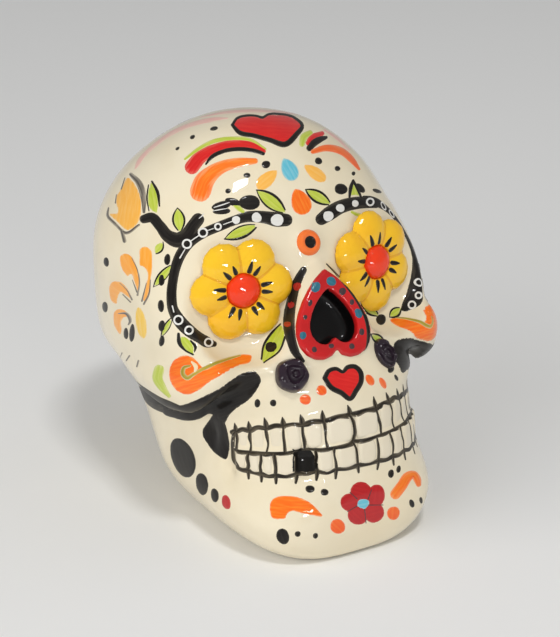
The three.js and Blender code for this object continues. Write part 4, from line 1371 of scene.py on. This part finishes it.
def tooth_row(name):
    order = [f"{name}_right_tooth_{n}" for n in range(7, 0, -1)]
    order += [f"{name}_left_tooth_{n}" for n in range(1, 8)]
    present = [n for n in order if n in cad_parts]
    middles = [Vector(np.mean(node_points(n), axis=0)) for n in present]
    edges = []
    for i, node in enumerate(present):
        along = (middles[min(len(present) - 1, i + 1)] - middles[max(0, i - 1)]).normalized()
        half = max((p - middles[i]).dot(along) for p in node_points(node))
        first = half - (end_cut_of(node) if i == 0 else 0.0)
        last = half - (end_cut_of(node) if i == len(present) - 1 else 0.0)
        edges.append((middles[i] - along * first, middles[i] + along * last, along, trim_of(node)))
    gaps = [(edges[0][0], edges[0][2], edges[0][3])]
    for left, right in zip(edges, edges[1:]):
        if (left[1] - right[0]).length > MISSING_TOOTH:
            gaps.extend([(left[1], left[2], left[3]), (right[0], right[2], right[3])])
        else:
            way = (left[2] + right[2]).normalized()
            gaps.append(((left[1] + right[0]) / 2, way, (left[3] + right[3]) / 2))
    gaps.append((edges[-1][1], edges[-1][2], edges[-1][3]))
    return gaps


def row_at(gap, gum, share, width, sway=0.0):
    place, along, trim = gap
    facing = along.cross(mouth_up).normalized()
    level = gum * TOOTH_HALF * (2 * share * trim - 1)
    return (*(place + mouth_up * level + along * sway * MM), *facing, width * MM)


upper_gaps, lower_gaps = tooth_row("upper"), tooth_row("lower")
for gaps, gum in ((upper_gaps, 1), (lower_gaps, -1)):
    gum_line = []
    for gap, after in zip(gaps, gaps[1:]):
        crown = [(a + b) / 2 for a, b in zip(gap, after)]
        gum_line.append(row_at(gap, gum, hand.uniform(*GUM_LEVELS), hand.uniform(*GUM_WIDTHS)))
        gum_line.append(row_at(crown, gum, hand.uniform(*CROWN_LEVELS), hand.uniform(*CROWN_WIDTHS)))
    gum_line.append(row_at(gaps[-1], gum, 1.0, LAST_WIDTH))
    pressed_line("brown_black", gum_line, tooth_skin)
    for gap in gaps[1:-1]:
        rows = [row_at(gap, gum, level, hand.uniform(*GAP_WIDTHS), hand.uniform(*GAP_SWAY))
                for level in GAP_LEVELS]
        pressed_line("brown_black", rows, tooth_skin)
    for gap in gaps[1:-1]:
        length = hand.uniform(*ROOT_LENGTHS[gum])
        wide, tip = ROOT_WIDTHS[gum]
        lean = hand.uniform(*ROOT_LEAN)
        root = [
            row_at(gap, gum, 1.0, wide),
            row_at(gap, gum, 1.0 + HALF_WAY * length / gap[2], HALF_WIDTH * wide, HALF_LEAN * lean),
            row_at(gap, gum, 1.0 + length / gap[2], tip, lean),
        ]
        pressed_line("brown_black", root, tooth_skin)
bite = [row_at(gap, 1, hand.uniform(*BITE_LEVELS), hand.uniform(*BITE_WIDTHS)) for gap in upper_gaps]
pressed_line("brown_black", bite, tooth_skin)
row_end = [
    (240, 430, 3.5), (235, 432.5, 4), (233, 440, 4.2), (233, 451, 4.2), (234, 460, 4.2), (238, 466.5, 3.2),
]
stroke("brown_black", row_end, surface=tooth_skin, mirrored=True)
missing_tooth = [
    (292.5, 449), (302, 448), (310, 449.5), (314.5, 456), (318, 463), (320, 468.5), (313, 472.5), (303, 473),
    (294, 474), (292, 462),
]
blot("gap_black", missing_tooth, surface=tooth_skin, longest=DEEP_EDGE)
print(f"{len(upper_gaps) + len(lower_gaps)} lines between the teeth")

# %% [markdown]
# The back and the crown behind the view aren't seen. They get a modest continuation of the same ornament:
# arcs like those of the forehead, and a flower like that of the chin with its leaves and seeds. These are
# laid with the picture turned round the skull's upright axis, so the same brush works from behind. Under the
# cheekbones the black of the hollows runs back out of sight. It is pressed on from the side, along the lip
# of the cheekbone and the jaw behind it, and drawn out to a point. The two pink strokes over the crown are
# pressed on from above in the same way. These trails are points on the skull in millimetres, with a width.

# %% Paint the back
BEHIND = math.radians(210)
BACK_NEARER = 1.08
BACK_MIDDLE = PHOTO_WIDTH / 2 + BACK_NEARER * (Matrix.Rotation(BEHIND, 3, "Z") @ aim).x / PIXEL
from_behind = {"turned": BEHIND, "mirrored": "rest"}


def from_middle(rows):
    return [(BACK_MIDDLE + row[0], *row[1:]) for row in rows]


back_arcs = [
    ("pink", [(0, 174, 12), (-34, 181, 13), (-64, 207, 12), (-80, 240, 6)]),
    ("orange", [(0, 200, 12), (-26, 206, 14), (-48, 224, 13), (-60, 248, 7)]),
]
back_leaves = [([(-68, 282), (-30, 273)], 16, 2.4, 2.0), ([(-44, 320), (-18, 295)], 14, 2.0, 2.4)]
back_dots = [(-84, 262, 10, 11), (-87, 282, 8, 9), (-82, 300, 7, 8), (-16, 336, 9, 10), (-32, 348, 7, 8)]
middle_dot = (0, 322, 13, 13)
top_petal = (0, 240, 32, 34)
back_petals = [(-21, 255, 33, 32), (-13, 281, 31, 33)]
back_seams = [[(-6, 254, 1.4), (-12, 241, 0.9)], [(-9, 265, 1.4), (-26, 270, 0.9)]]
middle_seam = [(0, 272, 1.4), (0, 290, 0.9)]
back_flower_eye = (0, 262, 17, 16)
for paint, mark in back_arcs:
    stroke(paint, from_middle(mark), **from_behind)
for ends, *shape in back_leaves:
    leaf(*from_middle(ends), *shape, **from_behind)
dots("black", from_middle(back_dots), **from_behind)
dots("black", from_middle([middle_dot]), turned=BEHIND)
dots("crimson", from_middle([top_petal]), turned=BEHIND)
dots("crimson", from_middle(back_petals), **from_behind)
strokes("mud", map(from_middle, back_seams), **from_behind)
stroke("mud", from_middle(middle_seam), turned=BEHIND)
dots("blue", from_middle([back_flower_eye]), turned=BEHIND)
HOLLOW_FACING = (-0.90, -0.05, -0.43)
CROWN_FACING = (-0.25, 0.20, 0.95)
hollow_lip = [
    (-40.8, 4, 39.9, 0.8), (-41.9, -3, 40.9, 3.0), (-42.6, -10, 41.7, 3.8), (-42.9, -17, 42.3, 4.0),
    (-41.8, -23, 42.8, 4.0), (-39.1, -27, 42.7, 3.0),
]
hollow_tail = [
    (-35, -14, 37.6, 8.0), (-35, -6, 36.3, 8.8), (-34, 2, 34.0, 8.8), (-33, 10, 31.2, 7),
    (-32, 17, 28.6, 4.8), (-30.5, 24, 26.6, 2.8), (-28, 31, 25.0, 0.9),
]
crown_pink = [
    (-30.5, 20, 98.8, 2), (-28, 22, 100.5, 4.5), (-23.3, 22.3, 104, 5.5), (-18, 20.5, 107.4, 6),
    (-13, 16.3, 110.3, 5.5), (-9, 12, 112, 4), (-7, 9.5, 112.6, 1.5),
]
top_pink = [
    (-9, 20, 110.5, 2), (-3, 14.7, 112.5, 5), (4, 10, 113, 5), (12, 9, 111.5, 4), (17, 10, 109.5, 1.5),
]


def press_trail(paint, trail, facing, side=1):
    facing = (side * facing[0], *facing[1:])
    rows = [(side * x * MM, y * MM, z * MM, *facing, width * MM) for x, y, z, width in trail]
    pressed_line(paint, rows, skin)


for trail in (hollow_lip, hollow_tail):
    for side in (1, -1):
        press_trail("black", trail, HOLLOW_FACING, side)
for trail in (crown_pink, top_pink):
    press_trail("pink", trail, CROWN_FACING)
print("back painted with", len(back_arcs) + len(back_leaves), "pairs of marks")

# %% [markdown]
# Each pot of paint now becomes one thin piece. The place along and across the brush, and the closeness to the
# edge, are kept on its points as an attribute, which the brush effect reads for its streaks.

# %% Fire the paint on
for paint, pot in pots.items():
    piece = new_piece("paint_" + paint, pot["places"], pot["faces"], paint_materials[paint])
    mark_layer = piece.data.attributes.new("mark", "FLOAT_VECTOR", "POINT")
    mark_layer.data.foreach_set("vector", np.array(pot["marks"], dtype=np.float32).ravel())
    keep(piece, "ivory_glaze")
print(f"{len(pots)} paints, {sum(len(pot['faces']) for pot in pots.values())} faces")

# %% [markdown]
# The stage is a plain pale floor and soft studio light. Glossy clay shows its form by what it reflects, so
# two lamps of a window's shape give small crisp highlights. Three wide walls of light only fill, so they are
# kept out of the reflections, and the pale world fills the rest. The camera looks down, so the floor is the
# whole background and keeps the skull's shadow.

# %% Light the stage
FLOOR_REACH = 3.0
PAPER = {"Base Color": (0.88, 0.88, 0.87, 1.0), "Roughness": 0.9, "Specular IOR Level": 0.1}
WORLD_FILL = {"Color": (1.0, 1.0, 1.0, 1.0), "Strength": 0.29}

floor_corners = [(x * FLOOR_REACH, y * FLOOR_REACH, 0.0) for x, y in ((-1, -1), (1, -1), (1, 1), (-1, 1))]
pale_paper, paper_tree = new_finish("pale paper")
filled_in(paper_tree, paper_tree.nodes["Principled BSDF"], PAPER)
floor = new_piece("floor", floor_corners, [(0, 1, 2, 3)], pale_paper)


def softbox(name, place, size, power):
    lamp_data = bpy.data.lights.new(name, "AREA")
    lamp_data.shape = "RECTANGLE"
    lamp_data.size, lamp_data.size_y = size
    lamp_data.energy = power
    lamp = bpy.data.objects.new(name, lamp_data)
    lamp.location = place
    lamp.rotation_euler = (Vector(place) - aim).to_track_quat("Z", "Y").to_euler()
    bpy.context.scene.collection.objects.link(lamp)
    return lamp


lamps = [
    softbox("front window", (-0.11, -0.53, 1.09), (0.20, 0.11), 4.0),
    softbox("low window", (-0.10, -1.25, 0.22), (0.26, 0.05), 1.6),
    softbox("left wall", (-1.70, -0.30, 0.75), (2.2, 1.2), 20.0),
    softbox("right wall", (1.50, -0.80, 1.10), (2.2, 2.2), 5.5),
    softbox("front wall", (-0.30, -2.00, 0.80), (2.4, 1.2), 2.0),
]
for wall in lamps[2:]:
    wall.visible_glossy = False
world = bpy.data.worlds.new("studio")
world.use_nodes = True
filled_in(world.node_tree, world.node_tree.nodes["Background"], WORLD_FILL)
bpy.context.scene.world = world
bpy.context.scene.view_settings.view_transform = "Standard"
print(f"{len(lamps)} lamps on a pale floor")
